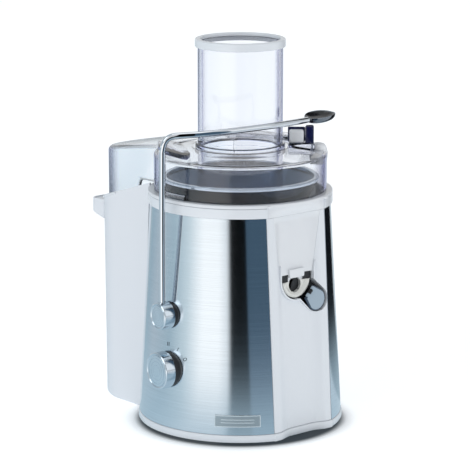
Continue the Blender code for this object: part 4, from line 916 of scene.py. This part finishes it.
def floor_paper():
    """Pale paper that glows, with a painted shadow close round the body's foot: there the glow fades out and
    the paper's colour turns near black.
    """
    tree, shader = shader_of("floor_paper")
    where = add(tree, "TexCoord").outputs["Object"]
    gap = add(tree, "VectorMath", {0: where, 1: AXIS_AT * 0.001}, operation="DISTANCE").outputs["Value"]
    # painted shadow: from FOOT_REACH outwards the glow rises from nothing and the paper's colour from near
    # black to full
    glow, tone = [
        add(tree, "MapRange", {"Value": gap, "From Min": FOOT_REACH, "From Max": reach, "To Max": most},
            interpolation_type="SMOOTHSTEP").outputs["Result"]
        for reach, most in ((0.119, FLOOR_GLOW), (0.108, 1.0))]
    paper = ramp_of(tree, tone, ((0.0, (0.03, 0.03, 0.035)), (1.0, (0.88, 0.885, 0.89))))
    feed(tree, shader, {"Base Color": paper, "Roughness": 0.6, "Emission Color": (0.98, 0.99, 1.0, 1.0),
                        "Emission Strength": glow})
    return MATERIALS["floor_paper"]


def studio_floor_glow():
    """What polished metal sees of the floor: bright and dark sectors, in degrees from the viewer's side."""
    stops = ((-180.0, (0.60, 0.66, 0.70)), (-150.0, (0.45, 0.53, 0.58)), (-137.0, (0.36, 0.48, 0.56)),
             (-115.0, (0.50, 0.57, 0.63)), (-86.0, (0.42, 0.54, 0.61)), (-63.0, (0.72, 0.82, 0.86)),
             (-43.0, (1.30, 1.28, 1.26)), (-24.0, (1.30, 1.28, 1.26)), (-14.5, (0.95, 0.97, 0.98)),
             (-9.8, (0.0, 0.0, 0.002)), (8.0, (0.0, 0.0, 0.004)), (9.5, (0.14, 0.20, 0.27)),
             (44.0, (0.14, 0.20, 0.27)), (48.0, (0.55, 0.62, 0.67)), (100.0, (0.80, 0.84, 0.88)),
             (114.0, (0.80, 0.84, 0.88)), (118.0, (0.01, 0.012, 0.015)), (146.0, (0.01, 0.012, 0.015)),
             (150.0, (0.60, 0.66, 0.70)), (180.0, (0.60, 0.66, 0.70)))
    tree, shader = glowing("floor_glow")
    where = add(tree, "TexCoord").outputs["Object"]
    around = add(tree, "TexGradient", {"Vector": where}, gradient_type="RADIAL").outputs["Fac"]
    sectors = ramp_of(tree, around, [((angle + 180.0) / 360.0, colour) for angle, colour in stops])
    reach = add(tree, "VectorMath", {0: where}, operation="LENGTH").outputs["Value"]
    close = add(tree, "MapRange", {"Value": reach, "From Min": 0.12, "From Max": 0.62, "To Min": 0.82,
                                   "To Max": 0.0}, interpolation_type="SMOOTHSTEP").outputs["Result"]
    blend = add(tree, "Mix", {"Factor": close, "A": sectors, "B": (0.46, 0.60, 0.69, 1.0)}, data_type="RGBA")
    feed(tree, shader, {"Emission Color": blend.outputs["Result"]})
    bpy.ops.mesh.primitive_circle_add(vertices=96, radius=6.0, fill_type="NGON")
    disc = bpy.context.active_object
    disc.name = "floor_glow"
    disc.location = (AXIS_AT.x * 0.001, AXIS_AT.y * 0.001, 0.0015)
    disc.rotation_euler = (0.0, 0.0, math.radians(VIEW_AZIMUTH - 90.0))
    disc.data.materials.append(MATERIALS["floor_glow"])
    only_in_reflections(disc, False)


def build_stage():
    bpy.ops.mesh.primitive_plane_add(size=60.0)
    floor = bpy.context.active_object
    floor.name = "floor"
    floor.data.materials.append(floor_paper())
    studio_floor_glow()
    card("card_black", -10.0, 8.5, (0.0, 0.0, 0.0))
    card("card_slate", 8.5, 44.0, (0.06, 0.105, 0.155))
    card("card_right", 117.0, 147.0, (0.005, 0.006, 0.008))
    world = bpy.data.worlds.new("studio")
    bpy.context.scene.world = world
    world.use_nodes = True
    tree = world.node_tree
    where = add(tree, "TexCoord").outputs["Generated"]
    turn = (0.0, 0.0, math.radians(90.0 - VIEW_AZIMUTH))
    turned = add(tree, "Mapping", {"Vector": where, "Rotation": turn}, vector_type="POINT").outputs["Vector"]
    around = add(tree, "TexGradient", {"Vector": turned}, gradient_type="RADIAL")
    stops = ((0.0, (1.0, 1.0, 1.0)), (0.10, (0.86, 0.93, 0.97)), (0.22, (0.55, 0.66, 0.74)),
             (0.34, (0.80, 0.88, 0.93)), (0.45, (1.04, 1.05, 1.06)), (0.60, (1.02, 1.03, 1.05)),
             (0.80, (0.85, 0.90, 0.94)), (1.0, (1.0, 1.0, 1.0)))
    feed(tree, tree.nodes["Background"], {"Color": ramp_of(tree, around.outputs["Fac"], stops),
                                          "Strength": WORLD_STRENGTH})
    for name, azimuth, height, distance, size, power in (
            ("key", -60.0, 1.3, 1.9, 1.2, 5.0), ("fill", 60.0, 1.1, 2.2, 1.4, 2.0),
            ("top", 0.0, 2.4, 0.3, 1.6, 4.0)):
        data = bpy.data.lights.new(name, "AREA")
        data.size, data.energy, data.color = size, power, (0.98, 0.99, 1.0)
        light = bpy.data.objects.new(name, data)
        bpy.context.scene.collection.objects.link(light)
        a = math.radians(VIEW_AZIMUTH + azimuth)
        light.location = (distance * math.sin(a), -distance * math.cos(a), height)
        light.rotation_mode = "QUATERNION"
        light.rotation_quaternion = (Vector((0.0, 0.0, 0.15)) - light.location).to_track_quat("-Z", "Y")
        light.visible_camera = False
    data = bpy.data.cameras.new("camera")
    data.lens, data.sensor_width = 194.9, 36.0
    data.clip_start, data.clip_end = 0.1, 100.0
    camera = bpy.data.objects.new("camera", data)
    bpy.context.scene.collection.objects.link(camera)
    camera.location = CAMERA_AT
    camera.rotation_mode = "QUATERNION"
    camera.rotation_quaternion = (LOOK_AT - CAMERA_AT).to_track_quat("-Z", "Y")
    bpy.context.scene.camera = camera
    bpy.context.scene.view_settings.view_transform = "Standard"


build_shell()
build_base()
build_panel()
build_top()
build_collector()
build_flap()
build_lid()
build_bin()
build_knob("arm_boss", ARM_FACE, ARM_R, ARM_D, "arm", ["arm_knob"])
build_knob("speed_knob", SEL_FACE, SEL_R, SEL_D, "selector", ["selector_knob"])
build_arm()
build_dial()
build_badge()
build_basket()
dress_cad()
build_stage()
